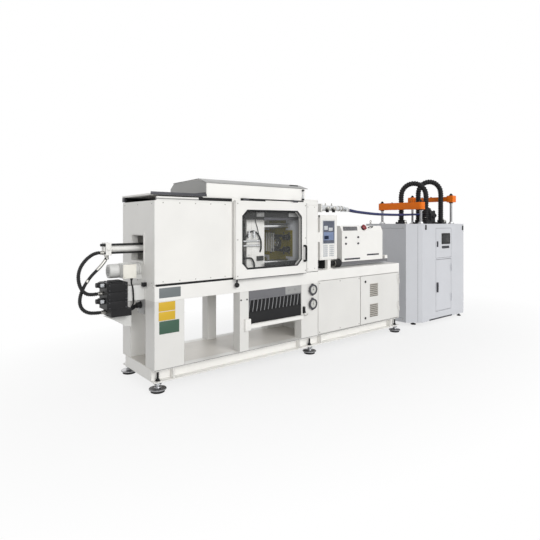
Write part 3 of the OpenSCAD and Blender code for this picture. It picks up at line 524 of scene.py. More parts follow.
LOOP_A = [
    (2.000, 0.140, 1.555), (2.000, 0.140, 1.700), (2.000, 0.140, 1.850), (2.000, 0.140, 1.985),
    (2.011, 0.117, 2.080), (2.043, 0.055, 2.152), (2.085, -0.030, 2.178), (2.127, -0.115, 2.152),
    (2.159, -0.177, 2.080), (2.170, -0.200, 1.985), (2.170, -0.200, 1.850), (2.170, -0.200, 1.700),
    (2.170, -0.200, 1.555)]
LOOP_B = [
    (2.270, 0.000, 1.555), (2.270, 0.000, 1.700), (2.270, 0.000, 1.860), (2.270, 0.000, 2.026),
    (2.288, -0.016, 2.121), (2.337, -0.060, 2.191), (2.405, -0.120, 2.216), (2.473, -0.180, 2.191),
    (2.522, -0.224, 2.121), (2.540, -0.240, 2.026), (2.540, -0.240, 1.860), (2.540, -0.240, 1.700),
    (2.540, -0.240, 1.555)]
HOSE_D, FEED_D, LOOP_D = 0.028, 0.030, 0.084
RIB_PITCH, RIB_DEPTH, SLEEVE_PITCH = 0.034, 0.009, 0.024
WRAP_STEP, WRAP_PITCH, WRAP_WIRE = 0.002, 0.016, 0.0042


def wave(length, pitch):
    """Cosine that comes back after every pitch."""
    return math.cos(2 * math.pi * length / pitch)


def smooth(points, step):
    """Evenly fine points on a smooth curve through the route's points."""
    p = [Vector(q) for q in points]
    p = [2 * p[0] - p[1], *p, 2 * p[-1] - p[-2]]
    path = []
    for a, b, c, d in zip(p, p[1:], p[2:], p[3:]):
        n = max(2, round((c - b).length / step))
        for t in (k / n for k in range(n)):
            bend, twist = 2 * a - 5 * b + 4 * c - d, 3 * b - a - 3 * c + d
            path.append(0.5 * (2 * b + (c - a) * t + bend * t**2 + twist * t**3))
    return [*path, p[-2]]


def ferrule(name, path, radius, finish, nut, sleeves):
    """Crimped sleeves with hexagon nuts on a hose's ends, and wire sleeves on stretches of its path."""
    piece = Piece(name, finish)
    for first, last in sleeves:
        piece.tube(path[first:last], lambda s: radius * (1.13 + 0.05 * wave(s, SLEEVE_PITCH)))
    sleeve = ((0.006, 0.9), (0.010, 1.28), (0.022, 1.28), (0.024, 1.18), (0.030, 1.28), (0.038, 1.28),
              (0.042, 1.05))
    hexagon = ((0, 1.35), (0.001, 1.42), (0.011, 1.42), (0.012, 1.3))
    for end, ahead in ((path[0], path[1] - path[0]), (path[-1], path[-2] - path[-1])):
        piece.turned(end, ahead, [(d, r * radius) for d, r in sleeve])
        if nut:
            piece.turned(end, ahead, [(d, r * radius) for d, r in hexagon], 6)
    return piece.done()


def wrap(name, route, radius, first, last):
    """Spiral guard round a stretch of a hose, from one share of its length to another."""
    path = smooth(route, WRAP_STEP)
    path = path[int(first * len(path)):int(last * len(path))]
    side, run, points = (path[1] - path[0]).orthogonal(), 0.0, []
    for before, here, after in zip(path, path[1:], path[2:]):
        ahead = (after - before).normalized()
        side = (side - ahead * side.dot(ahead)).normalized()
        run += (here - before).length
        turn = 2 * math.pi * run / WRAP_PITCH
        points.append(here + radius * (math.cos(turn) * side + math.sin(turn) * ahead.cross(side)))
    piece = Piece(name, "hose_rubber")
    piece.tube(points, WRAP_WIRE, 6)
    return piece.done()


def hose(node, route, diameter, finish, fitting, ribbed=False, sleeves=(), wrapped=None):
    """One hose with its end fittings and sleeves."""
    path = smooth(route, 0.004 if ribbed else 0.012)
    r = diameter / 2

    def ribs(s):
        return r - RIB_DEPTH * (0.5 - 0.5 * wave(s, RIB_PITCH)) ** 2

    piece = Piece(node + "_cover", finish)
    length = piece.tube(path, ribs if ribbed else r)
    cover = piece.done()
    extras = [ferrule(node + "_fittings", path, r, fitting, not ribbed, sleeves)]
    if wrapped:
        extras.append(wrap(node + "_wrap", route, r, *wrapped))


hose("hose_upper", HOSE_UP, HOSE_D, "hose_rubber", "zinc", wrapped=(0.08, 0.93))
hose("hose_lower", HOSE_LOW, HOSE_D, "hose_rubber", "zinc", sleeves=((4, 15), (24, 27)),
     wrapped=(0.46, 0.93))
hose("feed_hose_a", FEED_A, FEED_D, "feed_rubber", "zinc")
hose("feed_hose_b", FEED_B, FEED_D, "feed_rubber", "zinc")
hose("loop_hose_a", LOOP_A, LOOP_D, "curtain_rubber", "black_plastic", True)
hose("loop_hose_b", LOOP_B, LOOP_D, "curtain_rubber", "black_plastic", True)


# Base
FOOT_INSET, FOOT_FRONT, MID_FOOT = 0.05, 0.04, 0.1026
base_l, base_w = (BOX["base_rails"][1] - CORNER).xy
clamp_l = BOX["top_beams"][1].x - CORNER.x
foot_rows = (FOOT_INSET, clamp_l - MID_FOOT, base_l - FOOT_INSET)


def feet():
    """Turned levelling pads on rubber rings, threaded stems with nuts, and the bolts' ends in the rails."""
    pads, rings, stems, bolts = pieces(CORNER, foot_pads="rod_steel", foot_rings="black_plastic",
                                       foot_stems="machined_steel", foot_bolts="black_plastic")
    thread = [(0.05 + 0.003 * i, 0.0195 if i % 2 else 0.0175) for i in range(13)]
    for u, v in product(foot_rows, (FOOT_FRONT, base_w - FOOT_FRONT)):
        rings.turned((u, v, 0), Z,
                     [(0, 0.060), (0.002, 0.064), (0.016, 0.064), (0.018, 0.068), (0.024, 0.068)], 40)
        pads.turned((u, v, 0), Z,
                    [(0.0235, 0.072), (0.025, 0.079), (0.032, 0.08), (0.035, 0.077), (0.039, 0.05),
                     (0.042, 0.034), (0.05, 0.03), (0.052, 0.026)], 40)
        stems.turned((u, v, 0), Z, [*thread, (0.09, 0.0195)])
        hex_nut(stems, (u, v, 0.07), Z, 0.028, 0.6)
        bolts.turned((u, v, 0.1), Z, [(0, 0.010), (0.074, 0.010), (0.077, 0.007)], 20)
        hex_nut(bolts, (u, v, 0.1), Z, 0.019)


def leg_plates():
    """Blank coloured plates on the left leg and the beam above it, and two bolts."""
    places = {"plate_blue": [(0.045, 0.262, 0.857, 0.949)], "plate_green": [(0.046, 0.247, 0.528, 0.646)],
              "plate_yellow": [(0.040, 0.206, 0.737, 0.82), (0.040, 0.206, 0.651, 0.731)]}
    for finish, spots in places.items():
        piece = Piece("blank_" + finish, finish, CORNER)
        for u0, u1, z0, z1 in spots:
            piece.box((u0, -0.0012, z0), (u1, 0.0005, z1), 0.0005)
            for u, z in product((u0 + 0.01, u1 - 0.01), (z0 + 0.01, z1 - 0.01)):
                piece.turned((u, -0.0012, z), -Y, [(0, 0.003), (0.0005, 0.0028), (0.0008, 0.0012)], 10)
    bolts = Piece("leg_bolts", "black_plastic", CORNER)
    bolts.each(cap_screw, (0.955, 1.03), (0,), (0.7435,), -Y, 0.008)


def base_covers():
    """Screws of the fixed panel, grey strips that paint the shade of the gap along the rails' top, rail ribs,
    and the cabinet door's louvres, latches and caps.
    """
    low, high = BOX["base_panel"]
    l, _, h = high - low
    screws = Piece("base_panel_screws", "zinc", low)
    screws.each(button_screw, (0.03 * l, 0.5 * l, 0.97 * l), (0,), (0.035 * h, 0.965 * h), -Y, 0.008)
    front, top = low.y, BOX["base_rails"][1].z
    seam, ribs = pieces(CORNER, rail_seam="slope_paint", rail_ribs="white_paint")
    # Grey strips along the rails' top edges paint the shade in the gap under the panels
    for v in (-0.0008, base_w - 0.001):
        seam.box((0, v, top - 0.006), (base_l, v + 0.0018, top), 0.0004)
    for u, v in product((0.19, 1.79, 2.14, 3.52), (0.004, base_w - 0.068)):
        ribs.box((u, v, 0.098), (u + 0.009, v + 0.064, 0.2), 0.002)
    low, high = BOX["electric_door"]
    l, _, h = high - low
    louvres, mats, latches, caps = pieces(
        (low.x, front, low.z), "cabinet_door", door_louvres="vent_paint", door_mats="filter_mat",
        door_latches="black_plastic", door_hinge_caps="zinc")
    x = 0.227 * l
    for share, i in product((0.12, 0.55), range(7)):
        z = share * h + (i + 0.55) * 0.0249
        louvres.box((x, -0.006, z), (x + 0.17, 0.002, z + 0.009), 0.003)
        mats.box((x, 0.003, z - 0.014), (x + 0.17, 0.0065, z), 0.0005)
    for z in (0.12 * h, 0.88 * h):
        latches.turned((0.0905, -0.004, z), -Y,
                       [(0, 0.016), (0.002, 0.0165), (0.003, 0.015), (0.003, 0.009), (0.001, 0.0085)])
        latches.box((0.0885, -0.008, z - 0.008), (0.0925, -0.004, z + 0.008), 0.0008)
    for share in (0.15, 0.75):
        hinge = (l - 0.008, -0.008, share * (h + 0.012) + 0.1143)
        caps.turned(hinge, Z, [(0, 0.008), (0.002, 0.0078), (0.0045, 0.005)], 18)


PLEATS = 14
HAIR = 0.000001  # keeps two faces of a piece out of one plane, where they would shade each other


def chute():
    """Grey chute plate, light grey pleat edges that paint highlights on the curtain's ridges, and the plain
    flap of the curtain; bracket, lip bar and latch below it.
    """
    low, high = BOX["chute_curtain"]
    wide, _, tall = high - low
    plate, sheet, pleats, flap = pieces(
        low - Y * 0.004, chute_plate="shade_paint", chute_end_plate="slope_paint",
        curtain_pleats="pleat_rubber", chute_flap="curtain_rubber")
    plate.box((0, 0, tall - 0.1), (wide, 0.003, tall), 0.001)
    plate.box((0, -0.004, tall - 0.1), (wide, 0.002, tall - 0.09), 0.002)
    plate.each(button_screw, [x * wide for x in (0.05, 0.35, 0.65, 0.95)], (0,), (tall - 0.02,), -Y, 0.006)
    sheet.box((wide - 0.24, -0.003, tall - 0.088), (wide, 0, tall), 0.001)
    for x in (wide - 0.19, wide - 0.09):
        sheet.turned((x, -0.003, tall - 0.04), -Y,
                     [(0, 0.012), (0.003, 0.012), (0.004, 0.009), (0.001, 0.008)], 20)
    # Light grey tubes down the pleats paint the highlights on the black curtain's ridges
    for i in range(PLEATS):
        x = i / PLEATS * wide
        top, bottom = Vector((x + 0.016, 0.004, tall - 0.1)), Vector((x - 0.004, 0.004, 0.125))
        pleats.tube(smooth([top, top.lerp(bottom, 0.45) - Y * 0.002, bottom], 0.03), 0.0042, 8)
    flap.box((0, 0, 0), (wide, 0.003, 0.125), 0.001)
    flap.box((0, -0.002, 0.115), (wide, 0.001, 0.125), 0.001)

    low, high = BOX["chute_lip"]
    l, _, h = high - low
    bracket, latch, lever = pieces((low.x, CORNER.y, low.z), chute_bracket="white_paint",
                                   chute_latch="black_plastic", chute_lever="zinc")
    bracket.box((-0.06, -0.026, -0.03), (0.012, 0.001, h + 0.06), 0.003)
    bracket.box((0.008, -0.026, -0.012), (l + 0.012, -0.02, h - 0.002), 0.002)
    bracket.box((0.008, HAIR - 0.026, HAIR - 0.012), (l, low.y - CORNER.y + 0.004, -0.006), 0.002)
    bracket.each(button_screw, (-0.03,), (-0.026,), (0, 0.05), -Y, 0.006)
    latch.box((l + 0.02, -0.022, h + 0.02), (l + 0.046, 0.001, h + 0.095), 0.005)
    latch.turned((l + 0.033, -0.022, h + 0.035), -Y, [(0, 0.009), (0.012, 0.008), (0.014, 0.006)], 18)
    route = ((0.03, -0.012, 0.02), (0.034, -0.016, 0), (0.055, -0.018, -0.01), (0.08, -0.018, -0.004),
             (0.09, -0.018, 0.008))
    lever.tube(smooth([(l + x, y, h + z) for x, y, z in route], 0.006), 0.004, 12)


GAUGE_RIM = 1.24
TICKS = 25


def gauges():
    """Two pressure gauges: cases, dials with plain ticks, needles and glasses."""
    low, high = BOX["gauges"]
    r = (high.x - low.x) / 2
    big = GAUGE_RIM * r
    cases, dials, marks, glasses = pieces(
        (low.x + r, high.y, 0), gauge_cases="dark_steel", gauge_dials="dial_white",
        gauge_marks="black_plastic", gauge_glasses="window_glass")
    for z in (low.z + r, high.z - r):
        cases.turned((0, 0, z), -Y,
                     [(0, 0.9 * r), (0.016, 0.9 * r), (0.018, big), (0.029, big), (0.030, 0.97 * big),
                      (0.030, 0.71 * big), (0.024, 0.7 * big)], 40)
        for way in (1, -1):
            stub = (0, -0.012, z + way * 0.9 * big)
            cases.turned(stub, way * Z, [(0, 0.014), (0.014, 0.014), (0.016, 0.010)], 6)
        dials.turned((0, -0.0235, z), -Y, [(0, 0.7 * big), (0.001, 0.7 * big)], 40)
        for i in range(TICKS):
            a = math.radians(-45 + 270 * i / (TICKS - 1))
            out = Vector((-math.cos(a), 0, math.sin(a)))
            long = 0.002 if i % 4 else 0.004
            marks.box((-0.0006, -0.0004, -long), (0.0006, 0.0004, 0), 0.0001,
                      Vector((0, -0.0247, z)) + out * 0.66 * big, (out.cross(Y), Y, out))
        marks.turned((0, -0.0245, z), -Y, [(0, 0.0065), (0.002, 0.006)], 16)
        marks.box((-0.001, -0.0262, z - 0.004), (0.001, -0.0252, z + 0.56 * big), 0.0003)
        glasses.turned((0, -0.0275, z), -Y, [(0, 0.7 * big), (0.0015, 0.7 * big)], 40)


# Guard and gate
WINDOW_CUT, WINDOW_EDGE = 0.065, 0.007


def window_frames():
    """Rubber edges round the gate's window and the rear window, and the jamb behind the gate's edge."""
    for node, body, lips in (("gate_window", "gate", ((-0.0215, 0.006), (0.0255, 0.003))),
                             ("rear_window", "machine", ((-0.0115, 0.033),))):
        low, high = BOX[node]
        window = (0, 0, high.x - low.x, high.z - low.z)
        rubber = Piece(node + "_rubber", "black_plastic", low, body)
        for y, depth in lips:
            outer = grown(window, WINDOW_EDGE, WINDOW_CUT)
            rubber.band(outer, grown(window, -WINDOW_EDGE, WINDOW_CUT - 0.004), y, depth)
    low, high = BOX["guard_left_panel"]
    jamb = Piece("gate_jamb", "white_paint", (high.x, low.y, low.z))
    jamb.box((0.0005, 0.006, 0), (0.087, 0.012, high.z - low.z), 0.001)


GRIP_R, BALL_R = 0.0118, 0.0252


def gate_fittings():
    """Handle, rollers on the upper track, stop ball and edge strips of the sliding gate; the edge strips
    paint shade at its lower and right edges, the lower one partly a seal.
    """
    low, high = BOX["gate_handle"]
    _, d, h = high - low
    grip = Piece("gate_grip", "black_plastic", ((low.x + high.x) / 2, low.y, low.z), "gate")
    bar = GRIP_R + 0.001
    bend = [(d, 0.012), (bar + 0.018, 0.012), (bar + 0.004, 0.016), (bar, 0.03)]
    route = [(0, y, z) for y, z in bend] + [(0, y, h - z) for y, z in bend[::-1]]
    grip.tube(smooth(route, 0.006), GRIP_R)
    for z in (0.012, h - 0.012):
        grip.turned((0, d, z), -Y, [(0, 0.012), (0.005, 0.012), (0.007, 0.0118)], 20)

    low, high = BOX["gate"]
    l, top, track = high.x - low.x, high.z, BOX["gate_tracks"][1].z
    rollers, plates, ball, seal, edge, screws = pieces(
        (low.x, CORNER.y, 0), "gate", gate_rollers="black_plastic", gate_roller_plates="dark_steel",
        gate_stop_ball="black_plastic", gate_bottom_seal="dark_steel", gate_edge_strip="slope_paint",
        gate_screws="zinc")
    for x in (0.15 * l, 0.85 * l):
        plates.box((x - 0.035, -0.03, top - 0.02), (x + 0.035, -0.025, track - 0.002), 0.0015)
        rollers.turned((x, -0.025, track - 0.013), Y,
                       [(0, 0.006), (0.003, 0.006), (0.003, 0.012), (0.005, 0.0125), (0.0115, 0.0125)], 24)
        plates.each(cap_screw, (x - 0.02, x + 0.02), (-0.03,), (top - 0.008,), -Y, 0.005)
    middle = (0.03, -0.0325, low.z + 0.025)
    turns = [math.radians(a) for a in range(-85, 90, 10)]
    ball.turned(middle, Z, [(BALL_R * math.sin(a), BALL_R * math.cos(a)) for a in turns], 28)
    ball.turned(middle, Z, [(0.01, 0.0085), (0.06, 0.0085), (0.062, 0.014), (0.072, 0.014)], 20)
    foot, face = low.z + 0.087, low.y - CORNER.y
    # A dark strip under the gate's foot: partly a seal, partly painted shade of the gap above the lower track
    seal.box((0.002, -0.054, foot - 0.006), (l - 0.002, -0.012, foot + 0.001), 0.001)
    # A grey strip down the gate's right edge paints the shade of its step onto the right panel
    edge.box((l - 0.004, face - 0.0006, foot), (l, face + 0.001, top), 0.0003)
    rows = (foot + 0.03, (foot + top) / 2, top - 0.03)
    screws.each(button_screw, (0.022 * l, 0.978 * l), (face,), rows, -Y, 0.007)


# Shares of the hood's depth and height
HOOD_SHAPE = [(0, 0), (0, 0.73), (0.19, 1), (0.9, 0.93), (1, 0.55), (1, 0)]
HOOD_FOLD = [(0.004, 0.74), (0.19, 1.0), (0.9, 0.93), (0.9, 0.96), (0.188, 1.03), (0.0, 0.775)]


def hood():
    """Sheet metal hood in a brighter white for painted light, its folded top and ends in grey for painted
    shade, dark strips of painted shade in the gaps at its ends, and the gas strut in front of its right end.
    """
    low, high = BOX["hood"]
    l, d, h = high - low
    cover, ends, top, seals, strut, joints = pieces(
        low, hood_cover="hood_paint", hood_ends="slope_paint", hood_top="slope_paint",
        hood_seals="dark_steel", hood_strut="key_plastic", hood_strut_joints="black_plastic")
    # The hood wears a brighter white that paints light on it
    cover.outline([(0, y * d, z * h) for y, z in HOOD_SHAPE], X * l, 0.006)
    # Grey end plates paint the shade on the hood's ends
    for x in (-0.003, l - 0.002):
        inner = [(x, (0.012 + 0.976 * y) * d, (0.2 + 0.76 * z) * h) for y, z in HOOD_SHAPE]
        ends.outline(inner, X * 0.005, 0.001)
    # The folded top is grey, which paints the shade on the hood's top
    top.outline([(-0.006, y * d, z * h) for y, z in HOOD_FOLD], X * (l + 0.05), 0.0015)
    # Dark strips at both ends paint the shade of the gaps there
    for x in (-0.004, l):
        seals.box((x, 0.012, 0.018), (x + 0.004, d - 0.03, 0.045), 0.001)
    x = l - 0.045
    strut.turned((x, -0.014, 0.014), Z, [(0, 0.007), (0.055, 0.007), (0.057, 0.004), (0.105, 0.004)], 18)
    for z in (0.004, 0.109):
        joints.turned((x, -0.014, z), Z, [(0, 0.012), (0.004, 0.015), (0.016, 0.014), (0.02, 0.008)], 20)
        joints.box((x - 0.009, -0.014, z + 0.003), (x + 0.009, 0.001, z + 0.017), 0.003)
    joints.box((l - 0.14, 0.13 * d, h - 0.012), (l - 0.02, 0.17 * d, h + 0.002), 0.003)


TRACK_DEEP = 0.025


def tracks():
    """Gate tracks: dark running strips, pale where panels' edges cover them; the lid's front edge and end."""
    low, high = BOX["gate_tracks"]
    gate_end = BOX["gate"][1].x + 0.001
    panel_low, panel_high = BOX["guard_left_panel"]
    lower, up, left_end = panel_low.z, panel_high.z, panel_high.x
    catch, post, thin = (CORNER.x + u for u in (0.455, 0.95, 1.28))
    dark, grey, light = pieces((0, low.y, 0), gate_tracks_dark="black_paint", gate_tracks_grey="slope_paint",
                               gate_tracks_white="white_paint")
    strips = ((dark, low.x, gate_end, low.z, lower), (dark, gate_end, high.x, low.z, low.z + 0.006),
              (light, gate_end, high.x, low.z + 0.006, lower),
              (light, low.x, left_end, up, up + 0.011), (grey, low.x, catch, up + 0.011, up + 0.022),
              (light, low.x, catch, up + 0.022, up + 0.037), (dark, low.x, catch, up + 0.037, high.z),
              (dark, catch, left_end, up + 0.011, up + 0.042),
              (dark, catch, catch + 0.045, up + 0.042, high.z),
              (light, catch + 0.045, left_end, up + 0.042, high.z),
              (light, left_end, post, up, high.z), (dark, post, thin, up, high.z),
              (light, thin, gate_end, up, up + 0.036), (dark, thin, gate_end, up + 0.036, high.z),
              (light, gate_end, high.x, up, high.z))
    for piece, x0, x1, z0, z1 in strips:
        piece.box((x0, 0, z0), (x1, TRACK_DEEP, z1), 0.0006)
    d = high.y - low.y
    for z0, z1 in ((low.z, lower), (up, high.z)):
        dark.box((low.x, d - TRACK_DEEP, z0), (high.x, d, z1), 0.001)
    low, high = BOX["lid"]
    _, d, h = high - low
    trim, end = pieces(low, lid_edge="dark_steel", lid_end="white_paint")
    trim.box((-0.03, -0.002, 0.001), (BOX["hood"][0].x - low.x, 0.016, h + 0.01), 0.0008)
    trim.box((-0.012, d - 0.06, -0.045), (0.02, d - 0.01, 0), 0.003)
    end.box((-0.008, 0.017, 0.002), (0.001, d, h), 0.002)
    end.each(button_screw, (0.06, 0.21, 0.36, 0.5), (0.05, d - 0.04), (h,), Z, 0.008)


SLOT_HALF, SLOT_TALL = 0.14, 0.125


def guard_trim():
    """Screws of the guard panels, the frame round the cylinder's slot, and the rear guard's pull."""
    screws = Piece("guard_screws", "zinc")
    for node, count, inset in (("guard_left_panel", 5, 0), ("guard_right_panels", 2, 0.06)):
        low, high = BOX[node]
        xs = spread(low.x + inset, high.x, count)
        screws.each(button_screw, xs, (low.y,), (high.z - 0.02, 1.006), -Y, 0.006)
    low, high = BOX["guard_rear_panel"]
    screws.each(button_screw, spread(low.x, high.x, 9), (high.y,), (low.z + 0.02, high.z - 0.02), Y, 0.006)
    pull = Piece("rear_pull", "black_plastic", (low.x + 0.68, high.y, 1.3))
    route = ((0, 0), (0.006, 0), (0.012, 0.03), (0.012, 0.13), (0.006, 0.16), (0, 0.16))
    pull.tube(smooth([(0, y, z) for y, z in route], 0.006), 0.006)
    low, high = BOX["guard_end_panel"]
    ys = (low.y + 0.03, (low.y + high.y) / 2, high.y - 0.03)
    screws.each(button_screw, (low.x,), ys, (low.z + 0.03, high.z - 0.03), -X, 0.006)

    middle = spot("clamp_cylinder", 0.5, 0.5, 0.5)
    trim = Piece("slot_frame", "white_paint", (low.x, middle.y, middle.z))
    half, tall = SLOT_HALF, SLOT_TALL
    for x0, x1, thick, over, bevel in ((-0.005, 0.002, 0.022, 0.022, 0.0015), (0, 0.06, -0.005, 0, 0.001)):
        for way in (-1, 1):
            y0, y1 = sorted((way * half, way * (half + thick)))
            trim.box((x0, y0, -tall - over), (x1, y1, tall + over), bevel)
            z0, z1 = sorted((way * tall, way * (tall + thick)))
            trim.box((x0, -half, z0), (x1, half, z1), bevel)


# Clamp unit
TIE_BAR_R = 0.03
# Pipes on the moving platen's front: radius and route
PLATEN_PIPES = (
    (0.009, [(-0.12, -0.012, 0.06), (-0.09, -0.014, 0.10), (-0.03, -0.02, 0.15), (0.04, -0.02, 0.13),
             (0.09, -0.02, 0.06), (0.1, -0.018, -0.03), (0.1, -0.002, -0.07)]),
    (0.009, [(-0.12, -0.016, -0.14), (-0.08, -0.02, -0.135), (-0.03, -0.02, -0.145), (0.0, -0.02, -0.19),
             (0.01, -0.012, -0.24), (0.01, -0.002, -0.26)]),
    (0.004, [(0.025, -0.004, 0.31), (0.034, -0.007, 0.25), (0.055, -0.008, 0.19), (0.07, -0.010, 0.13),
             (0.082, -0.012, 0.07)]))


def platen_faces(middle):
    """Raised faces of both platens with their tapped holes and mould clamps."""
    for node, side, body, finish in (("fixed_platen", -1, "machine", "oiled_face"),
                                     ("moving_platen", 1, "platen", "machined_steel")):
        start = (BOX[node][side > 0].x, middle.y, middle.z)
        plate, holes = pieces(start, body, **{node + "_face": finish, node + "_bolts": "dark_steel"})
        x0, x1 = sorted((0, side * 0.002))
        plate.box((x0, -0.155, -0.29), (x1, 0.155, 0.29), 0.0008)
        for y in (-0.275, 0.155):
            plate.box((x0, y, -0.155), (x1, y + 0.12, 0.155), 0.0008)
        for y, z in product((-0.215, -0.12, 0.12, 0.215), (-0.12, -0.05, 0.05, 0.12)):
            holes.turned((side * 0.002, y, z), X * side,
                         [(0, 0.012), (0.0015, 0.0125), (0.002, 0.011), (0.002, 0.008), (0.0005, 0.0075)], 20)
        x0, x1 = sorted((side * 0.002, side * 0.014))
        for z in (-0.085, 0.085):
            cap_screw(holes, (side * 0.002, 0, z), X * side, 0.016)
            holes.box((x0, -0.1, z - 0.016), (x1, 0.1, z + 0.016), 0.003)


def fixed_side(middle):
    """Locating ring, couplings, sprue bush and rails on the fixed platen."""
    start = (BOX["fixed_platen"][0].x - 0.002, middle.y, middle.z)
    ring, couplings, sprue, rails = pieces(start, locating_ring="dark_steel", mould_couplings="black_plastic",
                                           sprue_bush="bar_chrome", platen_rails="motor_paint")
    front = CORNER.y - middle.y
    ring.turned((0, 0, 0), -X, [(0, 0.075), (0.008, 0.075), (0.01, 0.073), (0.01, 0.05), (0.002, 0.049)], 40)
    for z in (-0.072, 0.072):
        couplings.turned((0, front + 0.17, z), -X, [(0, 0.036), (0.02, 0.036), (0.022, 0.026), (0.05, 0.026),
                                                    (0.052, 0.031), (0.074, 0.031), (0.078, 0.026)])
    sprue.turned((-0.002, 0, 0), -X,
                 [(0, 0.046), (0.016, 0.044), (0.026, 0.024), (0.028, 0.012), (0.02, 0.01)], 32)
    for y in (front + v for v in (0.435, 0.477, 0.524, 0.571)):
        rails.box((-0.02, y - 0.007, -0.11), (0.001, y + 0.007, 0.12), 0.003)


def moving_side(middle):
    """Cheek, ejector, toggle pins, rods and pipes that ride with the moving platen."""
    cheek = Piece("platen_cheek", "white_paint", CORNER, "platen")
    cheek.box((1.1, 0.097, 1.012), (1.161, 0.118, 1.605), 0.003)
    cheek.each(cap_screw, (1.13,), (0.097,), (1.04, 1.2, 1.41, 1.575), -Y, 0.008)
    low, high = BOX["moving_platen"]
    ejector = Piece("ejector_rods", "machined_steel", (high.x + 0.002, middle.y, middle.z), "platen")
    for y in (-0.09, 0.09):
        ejector.turned((0, y, 0), X,
                       [(0, 0.02), (0.012, 0.02), (0.014, 0.013), (0.06, 0.013), (0.063, 0.011)], 24)
    ejector.turned((0, 0, 0), X,
                   [(0, 0.035), (0.02, 0.035), (0.024, 0.03), (0.05, 0.016), (0.054, 0.014)], 28)

    pins, rods, pipes = pieces((low.x, low.y, middle.z), "platen", toggle_pins="machined_steel",
                               platen_rods="bar_chrome", platen_pipes="black_plastic")
    links_low, links_high = BOX["toggle_links"]
    for y, axis in ((links_low.y - low.y, -Y), (links_high.y - low.y, Y)):
        for x, z in product((-0.03, -0.16, -0.29), (-0.12, 0.12)):
            pins.turned((x, y, z), axis,
                        [(0, 0.03), (0.004, 0.03), (0.006, 0.027), (0.006, 0.02), (0.01, 0.018)], 24)
    for z in (0.046, -0.004):
        rods.turned((-0.13, -0.015, z), X, [(0, 0.009), (0.002, 0.011), (0.2, 0.011), (0.202, 0.016),
                                            (0.222, 0.016), (0.224, 0.013)], 20)
    for x in (-0.05, 0.02):
        rods.turned((x, -0.022, 0.1), Z, [(-0.02, 0.016), (0.05, 0.016), (0.053, 0.012)], 20)
    pipes.start += X * 0.02
    for r, route in PLATEN_PIPES:
        pipes.tube(smooth(route, 0.012), r, 16)
        for x, y, z in (route[0], route[-1]):
            pipes.turned((x, y - 0.001, z), Y, [(0, r + 0.005), (0.006, r + 0.005), (0.008, r + 0.001)], 6)
    pipes.box((0.05, -0.022, -0.172), (0.135, 0.001, -0.122), 0.004)


def clamp_details():
    """Tie bar nuts, what both platens carry, and what lines the mould space."""
    low, high = BOX["tie_bars"]
    nuts = Piece("tie_bar_nuts", "dark_steel")
    r = TIE_BAR_R
    for x, axis in ((BOX["fixed_platen"][1].x, X), (BOX["tail_platen"][0].x, -X)):
        for y, z in product((low.y + r, high.y - r), (low.z + r, high.z - r)):
            nuts.turned((x, y, z), axis,
                        [(0, 0.046), (0.002, 0.048), (0.024, 0.048), (0.027, 0.044), (0.027, 0.031)], 8)
    middle = (low + high) / 2
    platen_faces(middle)
    fixed_side(middle)
    moving_side(middle)

    x0, x1 = BOX["guard_left_panel"][1].x + 0.004, BOX["guard_right_panels"][0].x + 0.06
    l = x1 - x0
    duct, lamps, shelf = pieces((x0, CORNER.y + 0.03, 0), mould_space_duct="black_paint",
                                mould_space_switches="slope_paint", mould_space_shelf="dark_steel")
    duct.box((0, 0, 1.578), (l, 0.026, 1.745), 0.004)
    duct.box((0.46, 0, 0.988), (l, 0.02, 1.112), 0.004)
    for x, wide in ((0.33, 0.1), (0.79, 0.14)):
        lamps.box((x, -0.012, 1.612), (x + wide, 0.002, 1.66), 0.005)
        for share in (0.25, 0.75):
            lamps.turned((x + share * wide, -0.012, 1.636), -Y,
                         [(0, 0.016), (0.003, 0.016), (0.005, 0.013), (0.002, 0.011)], 20)
    shelf.box((0.43, -0.008, 1.572), (l - 0.06, 0.002, 1.602), 0.003)


# Clamp drive at the left end
def cylinder_details():
    """Glands, port and cap bolts of the clamp cylinder."""
    low, middle = BOX["clamp_cylinder"][0], spot("clamp_cylinder", 0.5, 0.5, 0.5)
    gland, bolts = pieces((low.x, middle.y, middle.z), cylinder_glands="white_paint",
                          cylinder_bolts="dark_steel")
    for x, axis in ((0, -X), (0.05, X)):
        gland.turned((x, 0, 0), axis,
                     [(0, 0.034), (0.006, 0.034), (0.009, 0.031), (0.009, 0.022), (0.004, 0.021)], 32)
    gland.turned((0.025, low.y - middle.y, 0), -Y, [(0, 0.016), (0.008, 0.016), (0.011, 0.012)], 6)
    for y, z in ((-0.038, -0.038), (0.038, -0.038), (0.038, 0.038)):
        hex_nut(bolts, (0, y, z), -X, 0.009, 0.7)


MOTOR_R, MOTOR_Z, MOTOR_RIBS, FAN_END = 0.0625, 1.1, 28, -0.0012


